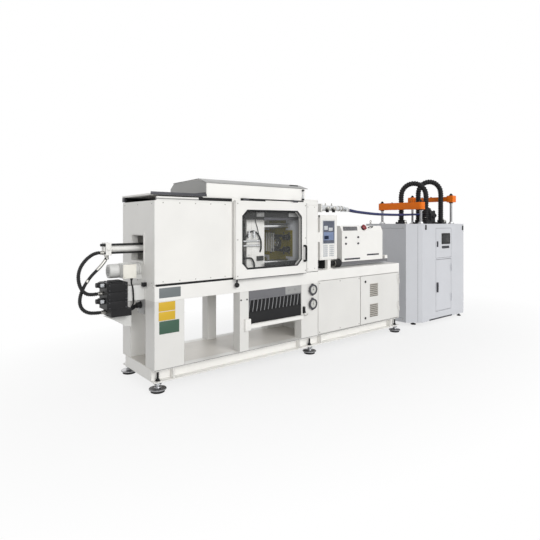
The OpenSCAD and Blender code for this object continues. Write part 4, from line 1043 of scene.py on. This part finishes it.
def motor_details():
    """Cooling ribs, fan cover with dark rings of painted shade for its slots, terminal box lid and cable
    gland of the pump motor.
    """
    low, high = BOX["pump_motor"]
    l, middle = high.x - low.x, high.y - MOTOR_R
    ribs, cover, slots, lid, gland = pieces(
        (low.x, middle, MOTOR_Z), motor_ribs="motor_paint", motor_fan_cover="motor_paint",
        motor_fan_slots="shade_paint", terminal_lid="cream_plastic", terminal_gland="black_plastic")
    for y, z in circle(1.0, MOTOR_RIBS):
        out = Vector((0, y, z))
        if y >= -0.45 and z >= -0.8:
            foot = out * (MOTOR_R - 0.002)
            ribs.box((0.1, -0.0015, 0), (l - 0.03, 0.0015, 0.009), 0.001, foot, (X, X.cross(out), out))
    cover.turned((FAN_END, 0, 0), X,
                 [(0.0, 0.05), (0.003, 0.058), (0.012, 0.0645), (0.085, 0.066), (0.088, 0.066),
                  (0.09, 0.063)], 40)
    cover.turned((l - 0.028, 0, 0), X, [(0, 0.063), (0.002, 0.07), (0.02, 0.07), (0.024, 0.064)], 40)
    # Dark rings on the fan end paint the shade in the fan cover's slots
    for r in (0.014, 0.026, 0.038):
        ring = circle(r, 32)
        slots.tube([(FAN_END, y, z) for y, z in (*ring, ring[0])], 0.0018, 8)
    front = low.y - middle
    lid.box((0.088, front - 0.006, -0.064), (0.212, front + 0.012, 0.064), 0.006)
    lid.each(cap_screw, (0.102, 0.198), (front - 0.006,), (-0.05, 0.05), -Y, 0.0045)
    gland.turned((0.18, front + 0.035, -0.0625), -Z,
                 [(0, 0.014), (0.01, 0.014), (0.012, 0.011), (0.02, 0.011), (0.024, 0.008)], 6)


CONDUIT_PITCH = 0.009


def valve_details():
    """Valve bodies, solenoids with their connectors, fittings on the manifold, and the conduit."""
    low, high = BOX["valve_manifold"]
    start = low + Vector((0.064, 0, 0.066))
    _, d, h = high - start
    bodies, screws, coils, plugs = pieces(start, valve_bodies="black_paint", valve_screws="dark_steel",
                                          valve_coils="black_plastic", valve_connectors="key_plastic")
    for z in (0.006, 0.084, 0.162):
        bodies.box((0.008, -0.007, z), (0.179, 0.01, z + 0.07), 0.004)
        screws.each(cap_screw, (0.02, 0.167), (-0.007,), (z + 0.012, z + 0.058), -Y, 0.0055)
    bodies.box((0.05, 0.03, h - 0.003), (0.157, d - 0.05, h + 0.012), 0.004)
    y = d / 2
    for z in (0.0744, 0.2184):
        coils.box((-0.04, y - 0.026, z - 0.026), (0.004, y + 0.026, z + 0.026), 0.004)
        coils.turned((0, y, z), -X, [(0.03, 0.0225), (0.058, 0.0225), (0.062, 0.018), (0.0635, 0.012)], 28)
        plugs.box((-0.036, y - 0.05, z - 0.015), (-0.006, y - 0.024, z + 0.015), 0.003)
        plugs.turned((-0.021, y - 0.05, z), -Y, [(0, 0.009), (0.012, 0.009), (0.016, 0.005)], 16)
    screws.each(cap_screw, (0.03,), (0.3 * d, 0.7 * d), (h,), Z, 0.008)
    bodies.box(at(-0.035, 0.165, 0.952) - start, at(0.001, 0.212, 0.99) - start, 0.004)
    gusset = Piece("valve_gusset", "motor_paint", CORNER)
    shape = ((-0.36, 0.706), (-0.1, 0.706), (-0.1, 0.575), (-0.16, 0.59), (-0.27, 0.66))
    gusset.outline([(u, 0.28, z) for u, z in shape], Y * 0.012, 0.002)

    y0 = low.y
    conduit, plate = pieces((0, y0, 0), valve_conduit="black_plastic", conduit_plate="slope_paint")
    begin, end = Vector((low.x + 0.287, 0.13, low.z + 0.03)), Vector((CORNER.x, 0.13, low.z + 0.06))
    conduit.tube(smooth([begin, begin + X * 0.04, end - X * 0.04, end], 0.002),
                 lambda s: 0.019 - 0.003 * wave(s, CONDUIT_PITCH) ** 2, 16)
    conduit.turned(end, -X, [(0, 0.034), (0.014, 0.034), (0.016, 0.028), (0.045, 0.026), (0.048, 0.02)], 8)
    conduit.turned(begin, X, [(0, 0.028), (0.014, 0.028), (0.016, 0.022), (0.03, 0.021)], 8)
    motor = BOX["pump_motor"][0]
    x, y = motor.x + 0.18, motor.y + 0.035 - y0
    drop = [(x, y, 1.014), (x, y, 0.984), (x, 0.028, 0.94), (x + 0.005, 0.026, 0.86), (x + 0.012, 0.05, 0.8),
            (x + 0.02, 0.118, 0.752)]
    conduit.tube(smooth(drop, 0.01), 0.0075, 14)
    beam = BOX["crossbars"][1].z - 0.137
    plate.box((CORNER.x, 0.05, low.z - 0.02), (CORNER.x + 0.006, 0.21, beam + 0.03), 0.002)
    plate.each(cap_screw, (CORNER.x,), (0.07, 0.19), (beam + 0.015,), -X, 0.006)


# Injection unit
PANEL_WIDE = 0.3
SCREEN = (0.051, 0.201, 0.246, 0.473)
# Plain blocks on the screen, by shares of its width and height
PICTURE = {"screen_blue": [(0.06, 0.14, 0.94, 0.5)],
           "key_plastic": [(0.1, 0.6, 0.42, 0.78), (0.5, 0.56, 0.86, 0.7), (0.1, 0.18, 0.5, 0.34)]}


def control_panel():
    """Screen with its bezel, keys, post and screws of the control panel."""
    low, high = BOX["control_panel"]
    start = (high.x - PANEL_WIDE, low.y, low.z)
    h, bed = high.z - low.z, BOX["bed"][1].z - low.z
    bezel, rims, glass, keys, post, back = pieces(
        start, panel_bezel="white_paint", panel_screen_rim="key_plastic", panel_screen="screen_slate",
        panel_keys="key_plastic", panel_post="white_paint", panel_back_screws="zinc")
    outer = grown((0, 0, PANEL_WIDE, h), -0.012, 0.012)
    bezel.band(outer, (0.042, 0.032, 0.258, h - 0.057, 0.006), -0.004, 0.006)
    bezel.box((0, -0.002, h - 0.03), (PANEL_WIDE, 0.03, h), 0.004)
    rims.band(grown(SCREEN, 0.008, 0.006), grown(SCREEN, 0, 0.003), -0.006, 0.007)
    left, foot, right, top = SCREEN
    glass.box((left, -0.003, foot), (right, 0.001, top), 0.001)
    for finish, blocks in PICTURE.items():
        shown = Piece("panel_picture_" + finish, finish, start)
        for block in blocks:
            x0, x1 = (left + share * (right - left) for share in block[::2])
            z0, z1 = (foot + share * (top - foot) for share in block[1::2])
            shown.box((x0, -0.0036, z0), (x1, -0.0028, z1), 0.0003)
    for row, column in product(range(6), (0, 1, 2, 4, 5, 6)):
        x, z = left + 0.004 + column * 0.0275, 0.04 + row * 0.0245
        keys.box((x, -0.005, z), (x + 0.021, 0.001, z + 0.017), 0.002)
    post.box((0.145, 0.012, bed - 0.001), (0.2, 0.058, 0.002), 0.004)
    post.box((0.12, 0.004, bed - 0.001), (0.225, 0.062, bed + 0.01), 0.003)
    post.each(cap_screw, (0.132, 0.213), (0.033,), (bed + 0.01,), Z, 0.006)
    back.each(button_screw, (0.02, 0.28), (high.y - low.y,), (0.03, 0.27, 0.51), Y, 0.006)


COVER_CUT_H, COVER_CUT_D = 0.07, 0.035


def cover_details():
    """Vent, bolts, slots, handle and stop button of the injection cover."""
    low, high = BOX["injection_cover"]
    top = high.z
    slope = Vector((0, COVER_CUT_D, COVER_CUT_H)).normalized()
    out = Vector((0, -COVER_CUT_H, COVER_CUT_D)).normalized()
    vent, bolts, slots, handle, button, collar = pieces(
        (low.x, low.y, 0), "carriage", cover_vent="shade_paint", cover_bolts="dark_steel",
        cover_slots="dark_steel", cover_handle="black_plastic", stop_mushroom="red_plastic",
        stop_collar="dark_steel")
    foot = Vector((0.03, 0, top - COVER_CUT_H)) + slope * 0.01
    head = foot + slope * 0.058
    vent.outline([foot, foot + X * 0.28, head + X * 0.3, head + X * 0.02], out * 0.003, 0.001)
    for i in range(6):
        line = foot + X * (0.012 + i * 0.003) + slope * (0.007 + i * 0.0085) + out * 0.003
        upper = line + slope * 0.004
        vent.outline([line, line + X * 0.265, upper + X * 0.265, upper], out * 0.002, 0.0006)
    bolts.each(cap_screw, (0.072, 0.316), (0,), (1.274, 1.355), -Y, 0.013)
    for x0, x1, z in ((0.048, 0.357, 1.07), (0.502, 0.762, 1.11)):
        slots.box((x0, -0.001, z - 0.008), (x1, 0.004, z + 0.008), 0.0009)
        slots.box((x0, -0.004, z + 0.008), (x1, 0.004, z + 0.013), 0.002)
    bow = ((0.0, -0.012), (0.0, 0.01), (0.012, 0.022), (0.06, 0.022), (0.072, 0.01), (0.072, -0.012))
    handle.tube(smooth([Vector((0.54 + t, 0, top - 0.02)) + out * d for t, d in bow], 0.004), 0.006)
    middle = spot("stop_button", 0.5, 0.5, 0.5)
    foot = (middle.x - low.x, 0.6 * COVER_CUT_D, top - 0.4 * COVER_CUT_H)
    button.turned(foot, out, [(0.008, 0.014), (0.019, 0.014), (0.02, 0.037), (0.023, 0.0395), (0.031, 0.038),
                              (0.039, 0.027), (0.042, 0.011)], 36)
    collar.turned(foot, out, [(-0.001, 0.034), (0.006, 0.034), (0.009, 0.028), (0.009, 0.012)], 36)


def injection_details():
    """Heater bands on the barrel, bolts of the pulling cylinder, mixer fittings and rail bolts."""
    low, high = BOX["barrel"]
    _, y, z = (low + high) / 2
    r = (high.z - low.z) / 2
    bands, clips = pieces((low.x, y, z), "carriage", heater_bands="machined_steel", heater_clips="dark_steel")
    for x in (0.26, 0.345, 0.43, 0.515, 0.6):
        bands.turned((x, 0, 0), X,
                     [(0, r - 0.001), (0.001, r + 0.006), (0.07, r + 0.006), (0.071, r - 0.001)], 36)
        clips.box((x + 0.01, -0.012, r + 0.004), (x + 0.06, 0.012, r + 0.02), 0.003)
        cap_screw(clips, (x + 0.035, -0.012, r + 0.012), -Y, 0.005)

    low, high = BOX["pull_cylinder"]
    _, y, z = (low + high) / 2
    l = high.x - low.x
    screws = Piece("pull_cylinder_bolts", "zinc", (low.x, y, z))
    for a, b in circle(0.038, 6, 0.5):
        cap_screw(screws, (l, a, b), X, 0.006)
    screws.each(cap_screw, (0.018, 0.057), (low.y - y,), (-0.035, 0.035), -Y, 0.008)
    screws.turned((0.037, 0, high.z - z), Z, [(0, 0.014), (0.01, 0.014), (0.012, 0.01), (0.02, 0.01)], 6)
    screws.turned((l - 0.1, 0, 0), -X,
                  [(0, 0.05), (0.004, 0.05), (0.006, 0.046), (0.006, 0.036), (0.001, 0.034)], 32)

    low, high = BOX["mixer"]
    flange, valves, fittings = pieces((low.x, (low.y + high.y) / 2, high.z - 0.055), mixer_bolts="dark_steel",
                                      mixer_valves="black_plastic", mixer_fittings="zinc")
    for a, b in circle(0.046, 8):
        hex_nut(flange, (0.03, a, b), X, 0.006)
    for x in (0.12, 0.24):
        fittings.turned((x, -0.03, 0), -Y,
                        [(0, 0.018), (0.02, 0.018), (0.022, 0.023), (0.036, 0.023), (0.04, 0.018)])
        valves.box((x - 0.016, -0.05, -0.055), (x + 0.016, -0.02, -0.02), 0.003)
        fittings.turned((x, 0, 0.03), Z,
                        [(0, 0.012), (0.02, 0.012), (0.022, 0.008), (0.036, 0.008), (0.038, 0.005)], 6)
    for x in (0.36, 0.42):
        fittings.turned((x, 0, 0), X, [(0, 0.032), (0.002, 0.038), (0.014, 0.038), (0.016, 0.032)])

    bolts = Piece("bed_rail_bolts", "dark_steel", (BOX["bed"][0].x, CORNER.y, BOX["guide_rails"][1].z))
    bolts.each(cap_screw, (0.06, 0.19, 0.32, 0.45), (0.235, 0.515), (0,), Z, 0.009)


# Dosing unit
DISPLAY, HATCH = (0.744, 1.222, 0.97, 1.37), (0.57, 1.0, 1.02, 1.46)
CHAMFER = Vector((-0.195, 0.156, 0))
dosing_face = BOX["dosing_door"][1].y - 0.02


def dosing_front():
    """Display, switch bar, upper hatch, grips, seams and clips on the dosing unit's front."""
    low, high = BOX["dosing_front"]
    frames, screen, bar, seams, upper, clips = pieces(
        (low.x, dosing_face, 0), display_frame="black_plastic", display_screen="screen_dark",
        switch_bar="dark_steel", dosing_seams="dark_steel", hatch_grip="dark_steel",
        dosing_clips="black_plastic")
    frames.band(grown(DISPLAY, 0.012, 0.006), grown(DISPLAY, -0.012, 0.004), -0.006, 0.008)
    screen.box((0.756, -0.003, 1.234), (0.958, 0.001, 1.358), 0.001)
    bar.box((0.744, -0.004, 1.142), (0.955, 0.002, 1.181), 0.002)
    for i in range(5):
        bar.turned((0.768 + i * 0.041, -0.004, 1.1615), -Y,
                   [(0, 0.013), (0.006, 0.013), (0.008, 0.011), (0.008, 0.008), (0.005, 0.007)], 24)
    seams.band(grown(HATCH, 0.004, 0.003), grown(HATCH, 0, 0.003), -0.0006, 0.002, 0.0003)
    line = Vector((-CHAMFER.x, 0, low.z + 0.01)) + CHAMFER * 0.27
    side, out = CHAMFER.normalized() * 0.003, CHAMFER.cross(Z).normalized() * -0.0008
    seams.outline([line, line + side, line + side + out, line + out], Z * (high.z - low.z - 0.02), 0.0002)
    upper.box((0.596, -0.014, 1.17), (0.612, 0.001, 1.26), 0.004)
    upper.box((0.599, -0.02, 1.18), (0.609, -0.012, 1.25), 0.003)
    for x, z in ((0.285, high.z + 0.005), (1.385, high.z - 0.01)):
        clips.box((x - 0.014, -0.01, z - 0.075), (x + 0.014, 0.002, z), 0.004)
        clips.box((x - 0.02, -0.006, z - 0.07), (x + 0.02, 0.001, z - 0.05), 0.002)

    low, high = BOX["dosing_door"]
    start = low + Vector((0.02, 0, 0.38 * (high.z - low.z)))
    grip = Piece("dosing_grip", "dark_steel", start, "dosing_door")
    grip.box((-0.004, -0.002, -0.01), (0.024, 0.019, 0.144), 0.005)
    grip.turned((0.01, -0.002, 0.11), -Y, [(0, 0.007), (0.002, 0.007), (0.002, 0.004), (0.0005, 0.0035)], 18)


DOSING_FOOT_R = 0.04


def dosing_sides():
    """Panel seams, screws and vents on the dosing unit's sides and back, and its feet."""
    low, high = BOX["dosing_walls"]
    l, d, h = high - low
    seams, screws, vents, slot = pieces(low, dosing_side_seams="dark_steel", dosing_screws="zinc",
                                        dosing_vents="grey_paint", dosing_skirt_slot="dark_steel")
    for x, axis, y in ((0, -X, 0.17), (l, X, 0.04)):
        ys = [y + 0.02 + i * (d - y - 0.06) / 3 for i in range(4)]
        for z, row in ((0.06, 0.04), (h - 0.05, h - 0.03)):
            seams.box((x - 0.0006, y, z), (x + 0.0006, d - 0.02, z + 0.003), 0.0003)
            screws.each(button_screw, (x,), ys, (row,), axis, 0.007)
    for i in range(12):
        z = 0.25 + i * 0.022 - low.z
        vents.box((0.5, d - 0.002, z + 0.8), (0.9, d + 0.005, z + 0.811), 0.003)
        vents.box((l - 0.002, 0.3, z), (l + 0.005, 0.6, z + 0.011), 0.003)
    screws.each(button_screw, [x * l for x in (0.03, 0.34, 0.66, 0.97)], (d,), (0.02 * h, 0.98 * h), Y, 0.007)
    face = dosing_face - low.y
    # A dark strip along the front's foot paints the shade of a recess there
    slot.box((0.385, face - 0.0008, 0), (1.045, face + 0.003, 0.022), 0.0003)

    pads = Piece("dosing_foot_pads", "black_plastic")
    feet_low, feet_high = BOX["dosing_feet"]
    r = DOSING_FOOT_R
    for x, y in product((feet_low.x + r, feet_high.x - r), (feet_low.y + r, feet_high.y - r)):
        pads.turned((x, y, 0), Z,
                    [(0, 0.039), (0.002, 0.04), (0.01, 0.04), (0.014, 0.034), (0.016, 0.015), (0.05, 0.015)])
        hex_nut(pads, (x, y, 0.034), Z, 0.022, 0.6)
    for y in (low.y + 0.03, high.y - 0.05):
        pads.turned((high.x - 0.06, y, 0), Z,
                    [(0, 0.03), (0.002, 0.032), (0.012, 0.032), (0.016, 0.026), (0.018, 0.012),
                     (0.052, 0.012)])


def dosing_top():
    """Bushes round the ram rods, flanges under the loops, pump block fittings and lifting eyes."""
    top = BOX["dosing_top"][1].z
    bushes, flanges, bolts, eyes = pieces(
        (0, 0, 0), ram_bushes="machined_steel", loop_flanges="black_plastic", top_plate_bolts="dark_steel",
        lifting_eyes="zinc")
    for low, high in (BOX["ram_a"], BOX["ram_b"]):
        x = (low.x + high.x) / 2
        for y in (low.y + 0.06, high.y - 0.06):
            bushes.turned((x, y, top), Z,
                          [(0, 0.05), (0.008, 0.05), (0.01, 0.048), (0.01, 0.034), (0.03, 0.032),
                           (0.034, 0.029), (0.034, 0.0208), (0.001, 0.0208)], 32)
            for a, b in circle(0.042, 4, 0.5):
                cap_screw(bolts, (x + a, y + b, top + 0.009), Z, 0.005)
    for x, y, z in (LOOP_A[0], LOOP_A[-1], LOOP_B[0], LOOP_B[-1]):
        flanges.turned((x, y, z), Z,
                       [(0, 0.052), (0.006, 0.052), (0.008, 0.05), (0.03, 0.0485), (0.036, 0.0485),
                        (0.038, 0.043)], 32)
        bolts.each(hex_nut, (x - 0.053, x + 0.053), (y - 0.053, y + 0.053), (z,), Z, 0.008)
    for x, y in product((0.04, 0.96), (0.22, 0.95)):
        foot = spot("dosing_top", x, y, 1)
        eyes.turned(foot, Z, [(0, 0.018), (0.008, 0.018), (0.01, 0.01), (0.02, 0.009)], 20)
        ring = circle(0.018, 24)
        eyes.tube([foot + Vector((a, 0, 0.036 + b)) for a, b in (*ring, ring[0])], 0.0055, 10)

    low = BOX["pump_block"][0]
    details, silver = pieces((low.x + 0.335, low.y + 0.0975, top), pump_block_valves="black_paint",
                             pump_block_fittings="zinc")
    details.turned((0.08, 0.07, 0.21), Z,
                   [(0, 0.045), (0.014, 0.045), (0.018, 0.036), (0.038, 0.034), (0.043, 0.026),
                    (0.05, 0.012)], 32)
    details.turned((0.249, 0.07, 0.1365), X,
                   [(0, 0.036), (0.012, 0.036), (0.014, 0.024), (0.03, 0.022), (0.032, 0.014)])
    details.box((0.02, -0.012, 0.05), (0.14, 0.002, 0.17), 0.005)
    details.turned((0.08, -0.012, 0.11), -Y, [(0, 0.028), (0.014, 0.028), (0.018, 0.02), (0.03, 0.018)], 6)
    details.each(cap_screw, (0.015, 0.145), (0.015, 0.125), (0.21,), Z, 0.009)
    for x, y, h in ((-0.12, 0.0, 0.09), (-0.17, 0.05, 0.07), (0.3, -0.08, 0.05), (0.36, -0.02, 0.06)):
        silver.turned((x, y, 0), Z, [(0, 0.02), (0.012, 0.02), (0.014, 0.012), (h, 0.012), (h + 0.002, 0.018),
                                     (h + 0.014, 0.018), (h + 0.018, 0.01)], 24)
        silver.turned((x, y, h - 0.01), X, [(0, 0.009), (0.03, 0.009), (0.032, 0.013), (0.042, 0.013)], 18)


def rams():
    """Orange crossbeams with round or square ends, their chrome rods, collars and nuts."""
    for node, wide, head in (("ram_a", 0.11, 0.0), ("ram_b", 0.076, 0.11)):
        low, high = BOX[node]
        half, r = max(wide, head) / 2, wide / 2
        d, top, z = high.y - low.y, high.z, high.z - half
        beam, rods, caps = pieces(((low.x + high.x) / 2, low.y, 0), node, **{
            node + "_beam": "orange_paint", node + "_rods": "rod_steel", node + "_caps": "black_plastic"})
        bow = [(r * math.cos(a), r * math.sin(a)) for a in (math.pi * k / 12 for k in range(13))]
        ends = [(a, d - r + b) for a, b in bow] + [(-a, r - b) for a, b in bow]
        beam.outline([(a, b, z - r) for a, b in ends], Z * wide, 0.004)
        for y, edge in ((0.06, 0), (d - 0.06, d - head)):
            if head:
                beam.box((-half, edge, z - half), (half, edge + head, z + half), 0.014)
            rods.turned((0, y, low.z), Z, [(0, 0.0195), (0.002, 0.02), (z - half - low.z, 0.02)], 32)
            caps.turned((0, y, top), Z, [(0, 0.036), (0.004, 0.036), (0.006, 0.03)])
            hex_nut(caps, (0, y, top + 0.005), Z, 0.024, 0.7)
            caps.turned((0, y, top + 0.02), Z, [(0, 0.014), (0.012, 0.013), (0.016, 0.008)], 24)
            caps.turned((0, y, z - half), -Z, [(0, 0.032), (0.012, 0.032), (0.014, 0.028), (0.014, 0.0205)])
        caps.each(cap_screw, (0,), (0.3 * d, 0.5 * d, 0.7 * d), (z + r,), Z, 0.012)


# Backs of the base, guard, injection cover and dosing unit
COVER_TAIL, LOUVRE_PITCH, SEAM = 0.14, 0.025, 0.0015
REAR_SEAMS = (2.09, 2.47, 2.868, 3.29, 3.7)


def louvre_block(slats, mats, x, y, z, wide, count):
    """Slats over a filter mat on a face that looks backwards."""
    for low in (z + i * LOUVRE_PITCH for i in range(count)):
        slats.box((x, y - 0.002, low), (x + wide, y + 0.006, low + 0.01), 0.003)
    top = z + count * LOUVRE_PITCH - 0.014
    mats.box((x + 0.004, y - 0.002, z), (x + wide - 0.004, y + 0.001, top), 0.0005)


def backs():
    """Panel seams, screws, louvres, hinges, grips and cable glands on the sides the photograph hides."""
    # The rear louvres wear the darker white that paints shade on the lower parts
    seams, screws, slats, mats, glands = pieces(
        CORNER, rear_seams="dark_steel", rear_screws="zinc", rear_louvres="base_paint",
        rear_mats="filter_mat", rear_glands="black_plastic")
    z0, z1 = (corner.z for corner in BOX["base_panel"])
    uprights = [(u, z0, z1) for u in REAR_SEAMS] + [(u, 0.99, 1.748) for u in (0.875, 1.822)]
    for u, foot, head in uprights:
        seams.box((u - SEAM, base_w - 0.001, foot), (u + SEAM, base_w + 0.0008, head), 0.0003)
    left, right = REAR_SEAMS[0], REAR_SEAMS[-1]
    for z in (z0, z1):
        seams.box((left, base_w - 0.001, z - SEAM), (right, base_w + 0.0008, z + SEAM), 0.0003)
    for left, right in zip(REAR_SEAMS, REAR_SEAMS[1:]):
        us = (left + 0.025, (left + right) / 2, right - 0.025)
        screws.each(button_screw, us, (base_w,), (z0 + 0.025, z1 - 0.025), Y, 0.007)
    for u in (2.15, 3.36):
        louvre_block(slats, mats, u, base_w, 0.55, 0.24, 8)
    for u in (2.95, 3.02, 3.09, 3.16):
        glands.turned((u, base_w, 0.262), Y,
                      [(0, 0.02), (0.01, 0.02), (0.012, 0.015), (0.024, 0.013), (0.026, 0.008)], 6)
    low, high = BOX["dosing_walls"]
    door = (low.x + 0.25 - CORNER.x, 0.16, high.x - 0.25 - CORNER.x, 0.98)
    seams.band(grown(door, 0, 0.003), grown(door, -0.004, 0.003), high.y - 0.001 - CORNER.y, 0.0018, 0.0003)
    grips = Piece("rear_grips", "dark_steel", (0, high.y, 0.55))
    for x in (low.x + 0.29, high.x - 0.31):
        grips.box((x, -0.001, 0), (x + 0.02, 0.014, 0.14), 0.005)

    low, high = BOX["hood"]
    hinges = Piece("rear_hinges", "dark_steel", (low.x, high.y, low.z + 0.028))
    for x in (share * (high.x - low.x) for share in (0.14, 0.86)):
        hinges.turned((x - 0.05, 0, 0), X, [(0, 0.008), (0.002, 0.009), (0.098, 0.009), (0.1, 0.008)], 18)
        hinges.box((x - 0.045, -0.004, 0), (x + 0.045, 0.003, 0.045), 0.002)

    low, high = BOX["injection_cover"]
    l, d, h = high - low
    slats, mats, screws = pieces(low, "carriage", cover_rear_louvres="white_paint",
                                 cover_rear_mat="filter_mat", cover_rear_screws="zinc")
    louvre_block(slats, mats, 0.34, d, 0.13, 0.3, 7)
    xs = [share * (l - COVER_TAIL) for share in (0.04, 0.35, 0.65, 0.96)]
    screws.each(button_screw, xs, (d,), (0.025, h - 0.03), Y, 0.007)


for build in (feet, leg_plates, base_covers, chute, gauges, window_frames, gate_fittings, hood, tracks,
              guard_trim, clamp_details, cylinder_details, motor_details, valve_details, control_panel,
              cover_details, injection_details, dosing_front, dosing_sides, dosing_top, rams, backs):
    build()
for piece in PIECES:
    if not piece.obj:
        piece.done()


# Floor, light and view
FLOOR_SIZE = 60.0
# Strength, angle in degrees, and where the light comes from
SUNS = {"key": (1.28, 30, (0.05, -1.0, 0.5)), "fill": (0.6, 25, (-0.6, -1.0, 0.3)),
        "back": (0.3, 40, (0.3, 1.0, 0.6))}


def seen(tree):
    """1 for what the camera sees, also by way of metal and glass."""
    path = tree.nodes.new("ShaderNodeLightPath")
    value = path.outputs["Is Camera Ray"]
    for name in ("Is Glossy Ray", "Is Transmission Ray"):
        either = tree.nodes.new("ShaderNodeMath")
        either.operation = "MAXIMUM"
        tree.links.new(value, either.inputs[0])
        tree.links.new(path.outputs[name], either.inputs[1])
        value = either.outputs["Value"]
    return value


def floor():
    """Pale floor that keeps the object's shadow and shows white to the camera further out."""
    look = Look("floor", (0.74, 0.74, 0.74), 0.9)
    look.set(Specular_IOR_Level=0.1)
    speckle = look.span(look.noise(60.0), 0.0, 0.3)
    look.set(Base_Color=look.mix(speckle, (0.76, 0.76, 0.76), (0.72, 0.72, 0.72)))
    white = look.add("ShaderNodeEmission", Strength=1.0)
    far = look.maths("ShaderNodeVectorMath", "LENGTH", look.place(scale=(0.16, 0.3, 1)))
    outside = look.span(far, 0.74, 1.0, 0.25, 0.85)
    share = look.maths("ShaderNodeMath", "MULTIPLY", outside, seen(look.tree))
    blend = look.add("ShaderNodeMixShader")
    ground = look.shader.outputs["BSDF"]
    for value, socket in zip((share, ground, white.outputs["Emission"]), blend.inputs):
        look.tree.links.new(value, socket)
    look.tree.links.new(blend.outputs["Shader"], look.tree.nodes["Material Output"].inputs["Surface"])
    mesh = bpy.data.meshes.new("floor")
    half = FLOOR_SIZE / 2
    corners = [(-half, -half, 0), (half, -half, 0), (half, half, 0), (-half, half, 0)]
    mesh.from_pydata(corners, [], [(0, 1, 2, 3)])
    mesh.materials.append(look.mat)
    obj = bpy.data.objects.new("floor", mesh)
    bpy.context.scene.collection.objects.link(obj)


def light():
    """Soft key, fill and back lamps and an even white surround."""
    for name, (energy, angle, source) in SUNS.items():
        sun = bpy.data.objects.new(name, bpy.data.lights.new(name, "SUN"))
        sun.data.energy = energy
        sun.data.angle = math.radians(angle)
        sun.rotation_euler = Vector(source).to_track_quat("Z", "Y").to_euler()
        bpy.context.scene.collection.objects.link(sun)
    world = bpy.data.worlds.new("surround")
    world.use_nodes = True
    tree = world.node_tree
    back = tree.nodes["Background"]
    back.inputs["Color"].default_value = (1, 1, 1, 1)
    level = tree.nodes.new("ShaderNodeMapRange")
    level.inputs["To Min"].default_value = 0.49
    level.inputs["To Max"].default_value = 1.0
    tree.links.new(seen(tree), level.inputs["Value"])
    tree.links.new(level.outputs["Result"], back.inputs["Strength"])
    bpy.context.scene.world = world


floor()
light()
bpy.context.scene.view_settings.view_transform = "Standard"
